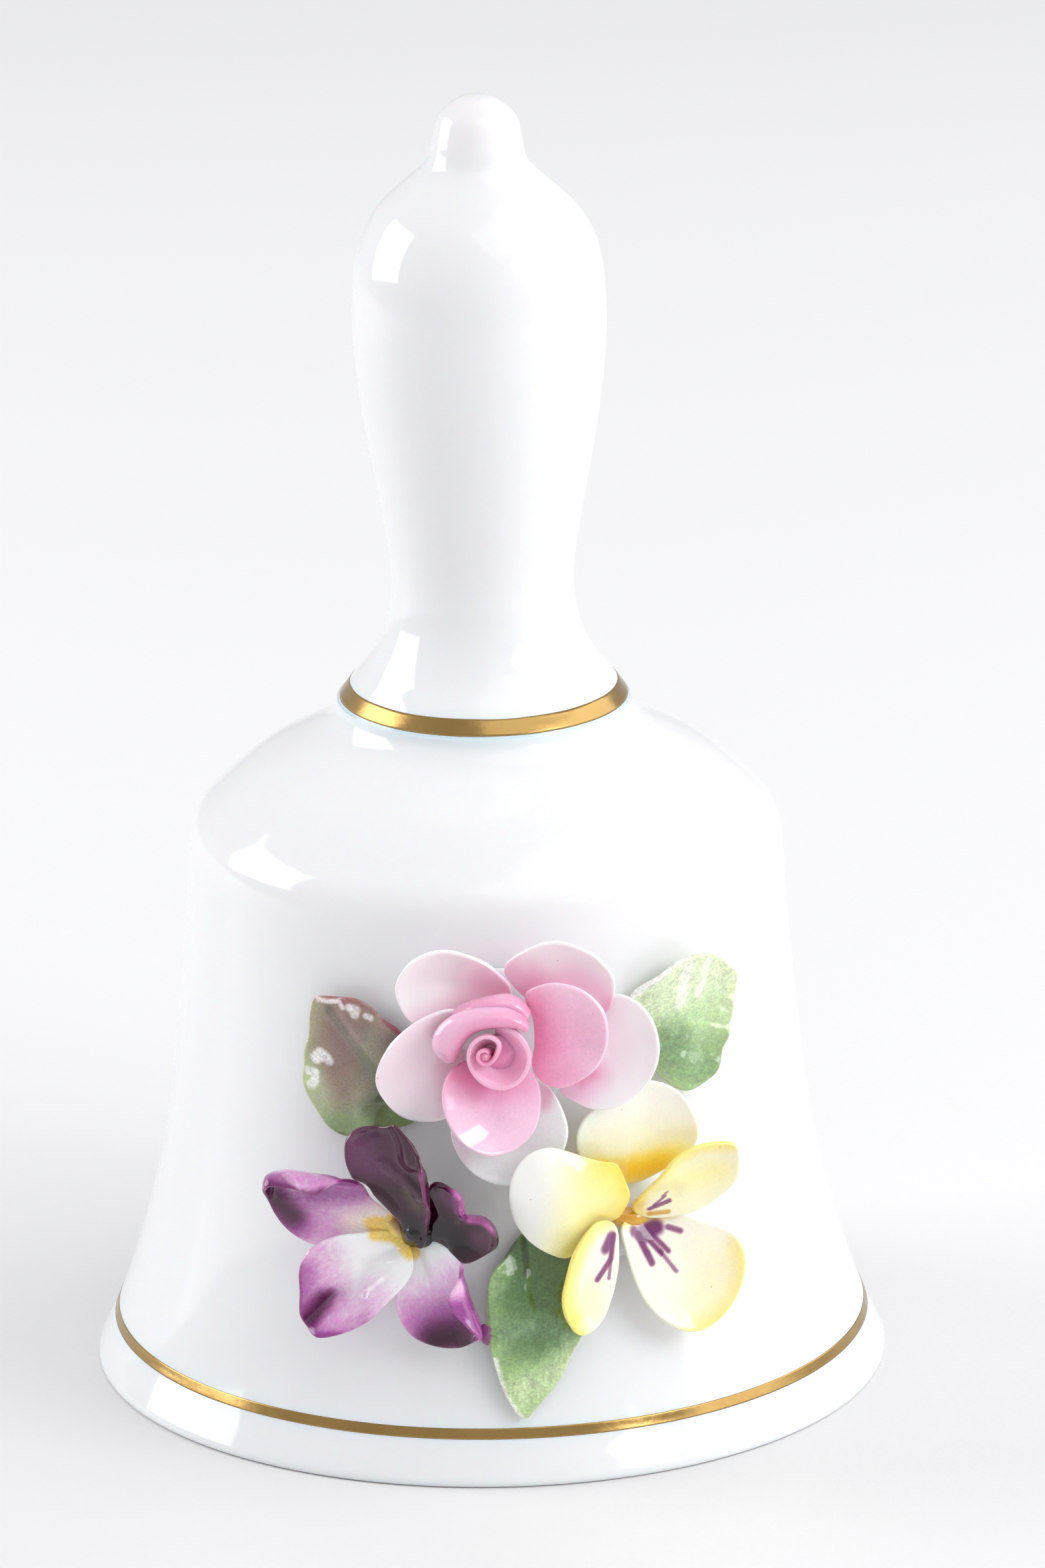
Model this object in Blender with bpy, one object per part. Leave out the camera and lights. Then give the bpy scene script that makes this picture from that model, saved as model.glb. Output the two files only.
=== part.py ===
"""Porcelain table bell with a spray of hand-modelled flowers.

A hollow bell shell carries a luted baluster handle, two gilt lines, a pink rose, two pansies and three
leaves. Inside, a swivelling eye pin in the crown holds a wire clapper with a china bead.

The bell stands on its lip. The origin is the centre of the foot ring, +Z is the axis of the bell, and
the flowers face -Y. Every size below is in millimetres; new_mesh() turns them into metres.
"""

import math

import bmesh
import bpy
from mathutils import Matrix, Vector

MM = 0.001
GAP = 0.3

# Bell shell
LIP_RADIUS = 38.0
LIP_ROUND = 0.7
FOOT_RING = (35.8, 37.3)
SHELL_TOP = 65.4
NECK_RADIUS = 13.9
CROWN_HOLE = 4.2
SHELL_STEPS = 40
SHELL_OUTSIDE = [
    (13.9, 65.2), (14.9, 63.8), (18.1, 61.8), (21.8, 59.7), (25.4, 56.8), (27.6, 54.2), (28.3, 50.5),
    (28.8, 44.0), (29.5, 35.5), (30.5, 26.5), (31.9, 18.2), (34.2, 10.1), (36.3, 4.4), (37.3, 2.2),
    (LIP_RADIUS, LIP_ROUND),
]
SHELL_INSIDE = [
    (FOOT_RING[0], 0.0), (34.6, 3.6), (32.0, 10.6), (29.7, 19.0), (28.0, 30.0), (26.8, 41.0),
    (26.1, 50.0), (24.6, 54.0), (19.5, 58.0), (12.5, 61.2), (CROWN_HOLE, 62.4),
]

# Handle: a baluster with a knob, hollow and open at its foot
HANDLE_FOOT = SHELL_TOP + GAP
HANDLE_TOP = 124.6
HANDLE_STEPS = 28
HANDLE_OUTSIDE = [
    (0.0, HANDLE_TOP), (2.6, 123.8), (3.9, 122.0), (4.3, 119.8), (5.3, 117.8), (8.4, 114.9),
    (10.7, 111.6), (11.8, 107.4), (12.0, 102.8), (11.5, 96.3), (10.4, 89.2), (9.1, 82.1),
    (8.6, 77.2), (9.1, 73.8), (10.5, 70.4), (12.3, 68.1), (13.5, 66.6), (13.8, HANDLE_FOOT),
]
HANDLE_INSIDE = [
    (11.2, HANDLE_FOOT), (8.4, 70.8), (6.6, 77.2), (7.3, 84.0), (9.3, 95.0), (9.9, 103.0),
    (8.6, 110.0), (4.6, 114.6), (0.0, 116.0),
]

# Gilt lines: thin bands let into shallow grooves
GILT_GROOVE = 0.6
GILT_THICKNESS = 0.3
COLLAR_GILT = (66.1, 67.5)
RIM_GILT = (4.3, 5.3)

# Hanger and clapper
PLUG = {"radius": CROWN_HOLE - GAP, "low": 61.0, "high": 67.0, "bore": 1.1}
PIN = {"shank": 0.8, "head": 2.2, "head_low": 67.3, "head_high": 68.2}
EYE_RADIUS = 1.6
WIRE_RADIUS = 0.5
PIN_EYE_HEIGHT = 57.0
SWING_HEIGHT = PIN_EYE_HEIGHT - EYE_RADIUS
BEAD_RADIUS = 6.0
BEAD_HEIGHT = 17.0
WIRE_END = BEAD_HEIGHT - BEAD_RADIUS - 1.4

# Flowers: azimuth from the front (towards +X), height, and the radius that heights over the wall
# are counted from
ROSE = {"azimuth": 0.0, "height": 42.0, "radius": 29.0}
PURPLE = {"azimuth": -15.0, "height": 24.0, "radius": 31.0}
YELLOW = {"azimuth": 22.0, "height": 24.5, "radius": 31.0}
PETAL_THICKNESS = 0.8
PETAL_AROUND = 14
BUD = {"at": (1.2, 0.2), "radius": 2.9, "low": 2.4, "high": 8.6}

WHITE = (0.86, 0.86, 0.87)
GOLD = (0.68, 0.45, 0.16)
PLASTER = (0.72, 0.70, 0.66)
BRASS = (0.62, 0.47, 0.22)
PINK = (0.85, 0.45, 0.58)
VIOLET = (0.40, 0.15, 0.42)
AUBERGINE = (0.12, 0.02, 0.08)
CREAM = (0.88, 0.84, 0.55)
YOLK = (0.85, 0.62, 0.10)
DARK_GREEN = (0.14, 0.30, 0.12)
PALE_GREEN = (0.42, 0.60, 0.30)
BROWN_GREEN = (0.26, 0.22, 0.17)

# Each petal: base, tip, left and right edge as (across, up, out) from its flower's centre, and its cup
# depth
ROSE_PETALS = {
    "rose_petal_top_left":
        ((-0.4, 5.5, 3.2), (-8.5, 5.8, 4.6), (-3.8, 9.7, 4.4), (-4.9, 2.8, 3.6), 0.5),
    "rose_petal_top_right": ((5.6, 3.2, 2.6), (7.0, 10.3, 4.2), (2.6, 7.4, 2.3), (11.7, 4.1, 4.2), 0.4),
    "rose_petal_right": ((5.9, 1.4, 4.8), (11.2, 1.8, 6.6), (6.8, 6.9, 6.2), (6.7, -3.3, 6.2), 0.8),
    "rose_petal_far_right":
        ((5.4, -1.6, 1.6), (15.9, -0.5, 4.0), (11.2, 5.1, 1.6), (10.1, -6.3, 4.0), 0.4),
    "rose_petal_left":
        ((-2.8, -1.4, 3.8), (-10.5, -2.6, 5.2), (-5.4, 3.6, 5.4), (-5.9, -6.9, 4.8), 0.6),
    "rose_petal_bottom": ((0.5, -3.4, 5.6), (0.3, -9.7, 7.0), (-4.3, -5.6, 6.6), (4.8, -5.8, 6.6), 0.8),
    "rose_petal_bottom_back":
        ((2.1, -4.0, 2.4), (1.5, -13.6, 4.2), (-3.6, -8.3, 3.6), (7.3, -7.5, 3.6), 0.4),
}
PURPLE_PETALS = {
    "purple_petal_upper": ((1.9, 2.4, 4.4), (-2.0, 11.2, 6.2), (-4.1, 7.6, 6.2), (3.9, 6.4, 6.4), 0.8),
    "purple_petal_right": ((4.0, 0.4, 2.6), (10.0, 0.7, 4.4), (6.1, 4.8, 4.4), (7.0, -2.3, 3.4), 0.4),
    "purple_petal_left":
        ((-1.9, 0.9, 2.6), (-11.8, 4.1, 5.6), (-5.8, 5.5, 4.6), (-7.5, -0.8, 3.4), 0.3),
    "purple_petal_low_left":
        ((-0.7, -1.7, 3.8), (-8.1, -9.7, 6.4), (-7.8, -1.9, 5.8), (-0.3, -6.2, 6.0), 0.8),
    "purple_petal_low_right":
        ((1.9, -2.2, 2.4), (6.8, -10.4, 5.0), (0.5, -6.6, 4.0), (6.9, -4.6, 4.8), 0.3),
}
YELLOW_PETALS = {
    "yellow_petal_top": ((0.6, 4.0, 1.6), (2.2, 13.4, 2.6), (-4.8, 8.1, 1.8), (6.9, 8.1, 3.0), 0.4),
    "yellow_petal_left":
        ((-1.6, 2.0, 3.8), (-11.7, 4.5, 2.8), (-7.6, 8.5, 4.0), (-6.2, -2.8, 3.0), -0.5),
    "yellow_petal_upper_right":
        ((2.0, 1.4, 4.6), (9.9, 6.3, 6.4), (3.8, 6.7, 6.6), (6.9, 0.6, 5.2), 0.4),
    "yellow_petal_low_right":
        ((1.0, -1.8, 2.8), (8.8, -10.2, 5.6), (1.7, -9.0, 4.6), (9.6, -2.1, 4.2), 0.5),
    "yellow_petal_low_left":
        ((-2.2, -1.6, 5.2), (-6.5, -9.7, 6.0), (-7.1, -3.2, 5.8), (-2.0, -5.7, 5.2), 0.2),
}

# Each leaf: base, tip, left and right edge as (azimuth, height, lift off the wall), and its colour
LEAVES = {
    "leaf_left":
        ((-14.0, 35.5, 1.4), (-33.5, 45.0, 1.4), (-19.0, 44.6, 1.4), (-29.0, 32.6, 1.4), BROWN_GREEN),
    "leaf_right":
        ((32.0, 37.6, 1.2), (47.5, 45.5, 3.0), (33.5, 47.0, 2.0), (42.5, 37.0, 2.4), PALE_GREEN),
    "leaf_bottom":
        ((6.5, 23.0, 1.6), (5.0, 6.6, 1.0), (14.0, 15.5, 1.8), (-0.8, 15.5, 1.5), DARK_GREEN),
}

# Each clay pad: azimuth, height, half width, half height and rise
PAD_EDGE = 0.8
PADS = {
    "rose_pad": (2.0, 40.5, 6.5, 8.0, 1.2),
    "purple_pad": (-15.0, 23.5, 5.0, 5.0, 1.2),
    "yellow_pad": (22.0, 25.0, 5.0, 5.0, 1.2),
}

# Each rolled petal round the bud: inner radius, low and high edge, and its arc from one angle to another
ROSE_WRAPS = {
    "rose_wrap_inner": (3.3, 2.4, 7.8, 10.0, 195.0),
    "rose_wrap_outer": (4.5, 4.6, 7.0, 40.0, 130.0),
}
WRAP_THICKNESS = 0.8

# Each pansy's eye: its place (across, up) in the flower, radius, low and high end
PURPLE_EYE = {"at": (0.3, 0.1), "radius": 1.0, "low": 2.2, "high": 4.2}
YELLOW_THROAT = {"at": (0.2, 0.1), "radius": 0.9, "low": 2.2, "high": 4.0}


def clear_scene():
    for scene_object in list(bpy.data.objects):
        bpy.data.objects.remove(scene_object, do_unlink=True)


def new_mesh(name, points, faces=(), edges=()):
    mesh = bpy.data.meshes.new(name)
    mesh.from_pydata([tuple(value * MM for value in point) for point in points], edges, faces)
    if faces:
        turn_faces_out(mesh)
    return mesh


def turn_faces_out(mesh):
    solid = bmesh.new()
    solid.from_mesh(mesh)
    bmesh.ops.recalc_face_normals(solid, faces=solid.faces)
    solid.to_mesh(mesh)
    solid.free()


def make_material(name, colour, roughness=0.12, metallic=0.0):
    material = bpy.data.materials.new(name)
    material.use_nodes = True
    shader = material.node_tree.nodes["Principled BSDF"]
    shader.inputs["Base Color"].default_value = (*colour, 1.0)
    shader.inputs["Roughness"].default_value = roughness
    shader.inputs["Metallic"].default_value = metallic
    return material


def place(name, data, colour, parent=None, **finish):
    """Puts mesh or curve data in the scene as one named sub-part with its own material."""
    data.materials.append(make_material(name, colour, **finish))
    part = bpy.data.objects.new(name, data)
    bpy.context.collection.objects.link(part)
    if parent:
        part.parent = parent
        part.matrix_parent_inverse = Matrix.Translation(-parent.location)
    return part


def curve_through(stations, steps=2):
    """Catmull-Rom curve through the stations, with that many steps between neighbours."""
    points = [Vector(station) for station in stations]
    padded = [2 * points[0] - points[1], *points, 2 * points[-1] - points[-2]]
    curve = []
    for before, start, end, after in zip(padded, padded[1:], padded[2:], padded[3:]):
        for step in range(steps):
            t = step / steps
            curve.append(
                0.5 * (2 * start + (end - before) * t + (2 * before - 5 * start + 4 * end - after) * t ** 2
                       + (3 * start - before - 3 * end + after) * t ** 3)
            )
    return [tuple(point) for point in curve] + [tuple(points[-1])]


def radius_at(profile, height):
    """Radius of a profile that runs from top to bottom, at a height."""
    for (upper, high), (lower, low) in zip(profile, profile[1:]):
        if low <= height <= high:
            return lower + (upper - lower) * (height - low) / (high - low)
    return profile[-1][0]


def with_groove(profile, band):
    """The profile with a shallow groove where a gilt band lies."""
    low, high = band
    above = [point for point in profile if point[1] > high + GAP]
    below = [point for point in profile if point[1] < low - GAP]
    top, bottom = radius_at(profile, high + GAP), radius_at(profile, low - GAP)
    groove = [
        (top, high + GAP), (top - GILT_GROOVE, high + GAP),
        (bottom - GILT_GROOVE, low - GAP), (bottom, low - GAP),
    ]
    return above + groove + below


def turned(name, profile, steps, colour, closed=False, parent=None, **finish):
    """Turns a profile of (radius, height) about +Z. It runs down the outer side first."""
    count = len(profile)
    edges = [(index, index + 1) for index in range(count - 1)]
    if closed:
        edges.append((count - 1, 0))
    mesh = new_mesh(name, [(radius, 0.0, height) for radius, height in profile], edges=edges)
    part = place(name, mesh, colour, parent, **finish)
    screw = part.modifiers.new("Turn", "SCREW")
    screw.steps = steps
    screw.render_steps = steps
    screw.use_merge_vertices = True
    screw.merge_threshold = 0.00001
    screw.use_smooth_shade = True
    return part


def make_shell():
    outside = with_groove(curve_through(SHELL_OUTSIDE), RIM_GILT)
    lip = [(FOOT_RING[1], 0.0)]
    inside = curve_through(SHELL_INSIDE, 1)
    crown = [(CROWN_HOLE, SHELL_TOP), (NECK_RADIUS - GAP, SHELL_TOP)]
    turned("bell_shell", outside + lip + inside + crown, SHELL_STEPS, WHITE, closed=True)


def make_handle():
    outside = with_groove(curve_through(HANDLE_OUTSIDE), COLLAR_GILT)
    turned("handle", outside + curve_through(HANDLE_INSIDE, 1), HANDLE_STEPS, WHITE)


def make_gilt_line(name, stations, band):
    """A thin gold band whose face lies in the surface that the stations turn."""
    low, high = band
    surface = curve_through(stations)
    top, bottom = radius_at(surface, high), radius_at(surface, low)
    profile = [(top, high), (bottom, low), (bottom - GILT_THICKNESS, low), (top - GILT_THICKNESS, high)]
    turned(name, profile, SHELL_STEPS, GOLD, closed=True, roughness=0.2, metallic=1.0)


def make_plug():
    """The plaster plug that fills the crown, with a bore for the eye pin."""
    bore, radius = PLUG["bore"], PLUG["radius"]
    profile = [(bore, PLUG["high"]), (radius, PLUG["high"]), (radius, PLUG["low"]), (bore, PLUG["low"])]
    turned("crown_plug", profile, 24, PLASTER, closed=True, roughness=0.8)


def eye_tool(height, parent):
    """An upright wire ring as a hidden tool, which a union adds to the pin."""
    around, section = 20, 8
    points, faces = [], []
    for index in range(around):
        turn = 2 * math.pi * index / around
        for step in range(section):
            angle = 2 * math.pi * step / section
            reach = EYE_RADIUS + WIRE_RADIUS * math.cos(angle)
            side = WIRE_RADIUS * math.sin(angle)
            points.append((reach * math.cos(turn), side, height + reach * math.sin(turn)))
            here, beside = index * section, (index + 1) % around * section
            after = (step + 1) % section
            faces.append((here + step, beside + step, beside + after, here + after))
    tool = place("eye_tool", new_mesh("eye_tool", points, faces), BRASS, parent)
    tool.hide_render = True
    tool.display_type = "WIRE"
    return tool


def make_eye_pin(swivel):
    """A headed pin that turns in the plug, with a wire eye at its foot."""
    head, shank = PIN["head"], PIN["shank"]
    foot = PIN_EYE_HEIGHT + EYE_RADIUS
    profile = [
        (0.0, PIN["head_high"]), (head * 0.7, PIN["head_high"]), (head, PIN["head_low"] + 0.3),
        (head, PIN["head_low"]), (shank, PIN["head_low"]), (shank, foot), (0.0, foot),
    ]
    pin = turned("eye_pin", profile, 16, BRASS, parent=swivel, roughness=0.3, metallic=1.0)
    union = pin.modifiers.new("Eye", "BOOLEAN")
    union.operation = "UNION"
    union.object = eye_tool(PIN_EYE_HEIGHT, swivel)


def make_clapper_wire(pivot):
    """Wire bent into an eye round the pin's eye, straight down through the bead, and hooked under it."""
    route = [
        (0.0, 1.5, WIRE_END), (0.0, 0.9, WIRE_END), (0.0, 0.2, WIRE_END + 0.2), (0.0, 0.0, WIRE_END + 0.9),
    ]
    route += [(0.0, 0.0, height) for height in (BEAD_HEIGHT, 30.0, 45.0, SWING_HEIGHT - EYE_RADIUS - 1.6)]
    for degrees in range(-50, 231, 20):
        turn = math.radians(degrees)
        route.append((0.0, EYE_RADIUS * math.cos(turn), SWING_HEIGHT + EYE_RADIUS * math.sin(turn)))
    curve = bpy.data.curves.new("clapper_wire", "CURVE")
    curve.dimensions = "3D"
    curve.bevel_depth = WIRE_RADIUS * MM
    curve.bevel_resolution = 1
    curve.use_fill_caps = True
    spline = curve.splines.new("POLY")
    spline.points.add(len(route) - 1)
    for point, position in zip(spline.points, route):
        point.co = (*(value * MM for value in position), 1.0)
    place("clapper_wire", curve, BRASS, pivot, roughness=0.3, metallic=1.0)


def make_bead(pivot):
    """The china bead, with a hole that clears the wire."""
    hole = WIRE_RADIUS + GAP
    start = math.asin(hole / BEAD_RADIUS)
    profile = []
    for step in range(9):
        angle = start + (math.pi - 2 * start) * step / 8
        profile.append((BEAD_RADIUS * math.sin(angle), BEAD_HEIGHT + BEAD_RADIUS * math.cos(angle)))
    turned("clapper_bead", profile, 20, WHITE, closed=True, parent=pivot)


def flower_matrix(flower):
    """Takes (across, up, out) of a flower to the bell's own frame."""
    turn = math.radians(flower["azimuth"])
    across = Vector((math.cos(turn), math.sin(turn), 0.0))
    out = Vector((math.sin(turn), -math.cos(turn), 0.0))
    up = Vector((0.0, 0.0, 1.0))
    matrix = Matrix((across, up, out)).transposed().to_4x4()
    matrix.translation = out * flower["radius"] + up * flower["height"]
    return matrix


def on_wall(azimuth, height, lift):
    """A point over the outside of the shell."""
    radius = radius_at(curve_through(SHELL_OUTSIDE), height) + lift
    turn = math.radians(azimuth)
    return Vector((radius * math.sin(turn), -radius * math.cos(turn), height))


def oval_solid(name, outline, middle, thickness, to_place, colour, around=PETAL_AROUND):
    """A thin dished solid. outline(turn) gives its edge, and its third value is the height it is
    dished in; front and back lie half the thickness to each side."""
    rings = (0.55, 1.0)
    points = []
    for side in (0.5, -0.5):
        offset = Vector((0.0, 0.0, side * thickness))
        points.append(to_place(*(middle + offset)))
        for ring in rings:
            for step in range(around):
                edge = outline(2 * math.pi * step / around)
                flat = middle.lerp(edge, ring)
                flat.z = middle.z + (edge.z - middle.z) * ring ** 2
                points.append(to_place(*(flat + offset)))
    faces = []
    back = 1 + len(rings) * around
    outer = 1 + (len(rings) - 1) * around
    for step in range(around):
        after = (step + 1) % around
        faces.append((0, 1 + step, 1 + after))
        faces.append((back, back + 1 + after, back + 1 + step))
        for ring in range(len(rings) - 1):
            low, high = 1 + ring * around, 1 + (ring + 1) * around
            faces.append((low + step, high + step, high + after, low + after))
            faces.append((back + low + after, back + high + after, back + high + step, back + low + step))
        faces.append((outer + step, back + outer + step, back + outer + after, outer + after))
    mesh = new_mesh(name, points, faces)
    mesh.shade_smooth()
    place(name, mesh, colour)


def crossing(base, tip, left, right):
    """Where the line from base to tip passes the line from left to right, seen from the front."""
    along, across = tip - base, right - left
    gap = left - base
    share = (gap.x * across.y - gap.y * across.x) / (along.x * across.y - along.y * across.x)
    return base.lerp(tip, share)


def make_petal(name, corners, cup, colour, to_place, point=1.0):
    """A petal or leaf whose edge is four elliptical arcs through its base, tip, left and right.
    point is 1 for round ends, and more for pointed ones."""
    base, tip, left, right = (Vector(corner) for corner in corners)
    middle = crossing(base, tip, left, right)
    level = (base.z + tip.z + left.z + right.z) / 4

    def outline(turn):
        along = (tip if math.cos(turn) > 0 else base) - middle
        across = (left if math.sin(turn) > 0 else right) - middle
        return middle + along * abs(math.cos(turn)) + across * abs(math.sin(turn)) ** point

    heart = Vector((middle.x, middle.y, level - cup))
    oval_solid(name, outline, heart, PETAL_THICKNESS, to_place, colour)


def make_flower(flower, petals, colours):
    matrix = flower_matrix(flower)
    for name, (*corners, cup) in petals.items():
        make_petal(name, corners, cup, colours.get(name, colours["all"]), lambda *at: matrix @ Vector(at))


def flower_dome(name, flower, dome_size, colour, steps=12):
    """A small turned dome that stands out from a flower's centre."""
    radius, low = dome_size["radius"], dome_size["low"]
    rise = dome_size["high"] - low
    profile = [
        (0.0, rise), (radius * 0.6, rise * 0.93), (radius * 0.95, rise * 0.7), (radius, rise * 0.4),
        (radius * 0.8, 0.0), (0.0, 0.0),
    ]
    dome = turned(name, profile, steps, colour)
    matrix = flower_matrix(flower)
    dome.rotation_euler = matrix.to_euler()
    dome.location = (matrix @ Vector((*dome_size["at"], low))) * MM


def make_rose_wrap(name, inner, low, high, start, end):
    """An arch-shaped petal that wraps part of the rose's bud, from one angle to another."""
    matrix = flower_matrix(ROSE)
    steps = 9
    points = []
    for step in range(steps + 1):
        turn = math.radians(start + (end - start) * step / steps)
        outer = inner + WRAP_THICKNESS
        for radius, level in ((inner, low), (inner, high), (outer, high), (outer, low)):
            across = BUD["at"][0] + radius * math.cos(turn)
            up = BUD["at"][1] + radius * math.sin(turn)
            points.append(matrix @ Vector((across, up, level)))
    faces = [(0, 1, 2, 3), tuple(4 * steps + corner for corner in (3, 2, 1, 0))]
    for step in range(steps):
        for corner in range(4):
            after = (corner + 1) % 4
            faces.append((4 * step + corner, 4 * step + 4 + corner, 4 * step + 4 + after, 4 * step + after))
    place(name, new_mesh(name, points, faces), PINK)


def make_pad(name, azimuth, height, half_width, half_height, rise):
    """A low clay mound on the wall, under a flower."""
    half_angle = math.degrees(half_width / radius_at(curve_through(SHELL_OUTSIDE), height))
    edge_lift = GAP + PAD_EDGE / 2 + 0.1
    middle = Vector((azimuth, height, edge_lift + rise / 2))

    def outline(turn):
        across = azimuth + half_angle * math.cos(turn)
        return Vector((across, height + half_height * math.sin(turn), edge_lift))

    oval_solid(name, outline, middle, PAD_EDGE, on_wall, WHITE)


def make_spray():
    for name, pad in PADS.items():
        make_pad(name, *pad)
    make_flower(ROSE, ROSE_PETALS, {"all": PINK})
    for name, wrap in ROSE_WRAPS.items():
        make_rose_wrap(name, *wrap)
    flower_dome("rose_bud", ROSE, BUD, PINK, 16)
    dark = {"purple_petal_upper": AUBERGINE, "purple_petal_right": AUBERGINE}
    make_flower(PURPLE, PURPLE_PETALS, {"all": VIOLET, **dark})
    flower_dome("purple_eye", PURPLE, PURPLE_EYE, YOLK)
    make_flower(YELLOW, YELLOW_PETALS, {"all": CREAM})
    flower_dome("yellow_throat", YELLOW, YELLOW_THROAT, YOLK)
    for name, (*corners, colour) in LEAVES.items():
        make_petal(name, corners, 0.0, colour, on_wall, point=1.3)


def make_pivot(name, height):
    """An empty on a joint's axis, which carries the pieces that turn about it."""
    pivot = bpy.data.objects.new(name, None)
    bpy.context.collection.objects.link(pivot)
    pivot.location = (0.0, 0.0, height * MM)
    return pivot


def main():
    clear_scene()
    make_shell()
    make_handle()
    make_gilt_line("gilt_line_collar", HANDLE_OUTSIDE, COLLAR_GILT)
    make_gilt_line("gilt_line_rim", SHELL_OUTSIDE, RIM_GILT)
    make_plug()
    make_eye_pin(make_pivot("swivel_axis", PIN_EYE_HEIGHT))
    swing = make_pivot("swing_axis", SWING_HEIGHT)
    make_clapper_wire(swing)
    make_bead(swing)
    make_spray()


main()
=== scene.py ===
"""Looks of the porcelain table bell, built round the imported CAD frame.

The turned china, the gilt lines, every hand-modelled petal and leaf, the clay under them and the clapper
inside are fine meshes here. Paint is brushed on the flowers as strokes, and the glaze is procedural.
Lengths are in millimetres until a mesh is made. +Z is the bell's axis and the flowers face -Y.
"""

import math

import bmesh
import bpy
import numpy as np
from mathutils import Matrix, Vector, noise


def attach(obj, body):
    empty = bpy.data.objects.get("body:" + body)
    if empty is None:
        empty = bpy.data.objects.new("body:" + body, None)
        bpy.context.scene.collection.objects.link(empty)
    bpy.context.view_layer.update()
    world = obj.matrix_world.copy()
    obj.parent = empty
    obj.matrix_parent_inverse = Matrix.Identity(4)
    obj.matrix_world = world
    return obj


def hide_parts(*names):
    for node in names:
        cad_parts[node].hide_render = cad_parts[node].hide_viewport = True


MM = 0.001
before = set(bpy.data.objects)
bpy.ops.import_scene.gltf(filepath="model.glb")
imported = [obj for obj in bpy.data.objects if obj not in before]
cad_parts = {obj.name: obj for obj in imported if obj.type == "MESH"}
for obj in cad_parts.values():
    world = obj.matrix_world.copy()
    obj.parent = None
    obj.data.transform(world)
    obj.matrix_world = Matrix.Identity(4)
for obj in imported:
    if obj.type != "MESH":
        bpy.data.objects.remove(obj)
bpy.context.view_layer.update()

# ---------------------------------------------------------------------------------------------- sizes

AROUND = 192
FOOT_RING = (35.8, 37.3)
CROWN_HOLE = 4.2
SHELL_OUTSIDE = [
    (13.95, 65.9), (14.05, 65.0), (14.9, 63.8), (16.3, 62.8), (18.1, 61.8), (21.7, 59.8), (25.4, 56.8),
    (27.4, 54.7), (28.1, 52.7), (28.6, 45.6), (29.5, 35.5), (30.7, 25.3), (32.0, 18.2), (34.2, 10.1),
    (36.3, 4.2), (37.3, 2.1), (37.85, 0.9),
]
SHELL_LIP = [(37.95, 0.55), (37.85, 0.2), (37.55, 0.02), (FOOT_RING[1], 0.0)]
SHELL_INSIDE = [
    (FOOT_RING[0], 0.0), (35.4, 0.5), (34.6, 3.6), (32.0, 10.6), (29.7, 19.0), (28.0, 30.0), (26.8, 41.0),
    (26.1, 50.0), (24.6, 54.0), (19.5, 58.0), (12.5, 61.2), (CROWN_HOLE, 62.4),
]
SHELL_CROWN = [(CROWN_HOLE, 65.4), (10.5, 65.4), (13.2, 65.6)]
HANDLE_OUTSIDE = [
    (0.0, 124.6), (1.5, 124.4), (2.79, 123.6), (3.7, 122.6), (4.22, 120.6), (4.64, 118.6), (5.42, 117.6),
    (7.76, 115.5), (9.67, 113.5), (11.0, 111.0), (11.67, 108.4), (12.0, 103.4), (11.72, 98.3),
    (10.87, 92.0), (9.8, 86.0), (8.82, 80.0), (8.64, 77.0), (9.05, 74.0), (9.73, 71.95), (10.84, 69.9),
    (12.4, 67.9), (13.68, 66.1), (13.85, 65.8),
]
HANDLE_INSIDE = [
    (11.2, 65.7), (8.4, 70.8), (6.6, 77.2), (7.3, 84.0), (9.3, 95.0), (9.9, 103.0), (8.6, 110.0),
    (4.6, 114.6), (0.0, 116.0),
]
COLLAR_GILT = (66.1, 67.5)
RIM_GILT = (4.3, 5.25)
GILT_PROUD = 0.03
GILT_DEPTH = 0.12
GILT_WAVER = 0.035

PIN_HEAD = {"radius": 2.2, "low": 67.3, "high": 68.2}
PIN_EYE = 57.0
SWING = 55.4
EYE_RADIUS = 1.6
WIRE_RADIUS = 0.5
BEAD = {"radius": 6.0, "height": 17.0, "hole": 0.8}
WIRE_TAIL = 1.4

WALL_SCALE = 31.0
PETAL_THICKNESS = 0.75
WRAP_THICKNESS = 0.8
PAD_THICKNESS = 0.8
BUD_THICKNESS = 1.0
LUMP_THICKNESS = 0.5
RIM_SHARE = 0.55
SHEET_CELLS = 26
LUMP_CELLS = 12
UNEVENNESS = 0.22

# Where each flower sits: azimuth from the front, height, and the radius its depths are counted from
FLOWERS = {
    "rose": (0.0, 42.0, 29.0),
    "purple": (-15.0, 24.0, 31.0),
    "yellow": (22.0, 24.5, 31.0),
}

# ---------------------------------------------------------------------------------------------- paints

PAINTS = {
    "white": (246, 246, 246), "cream": (250, 244, 206), "blush": (246, 208, 228), "pink": (238, 142, 188),
    "rose": (220, 88, 140), "orchid": (206, 112, 192), "mauve": (178, 88, 166), "violet": (122, 40, 118),
    "plum": (104, 34, 92), "aubergine": (52, 4, 34), "yolk": (244, 190, 34), "ochre": (196, 136, 22),
    "lemon": (254, 242, 142), "yellow": (254, 222, 72), "moss": (150, 152, 110), "umber": (116, 70, 76),
    "wine": (140, 30, 62), "leaf": (116, 152, 88), "dark": (78, 114, 68), "olive": (92, 112, 52),
    "dusk": (126, 96, 116), "sage": (130, 160, 122), "pale": (178, 208, 146), "straw": (216, 230, 194),
    "black": (50, 62, 40), "night": (24, 4, 18),
}

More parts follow.
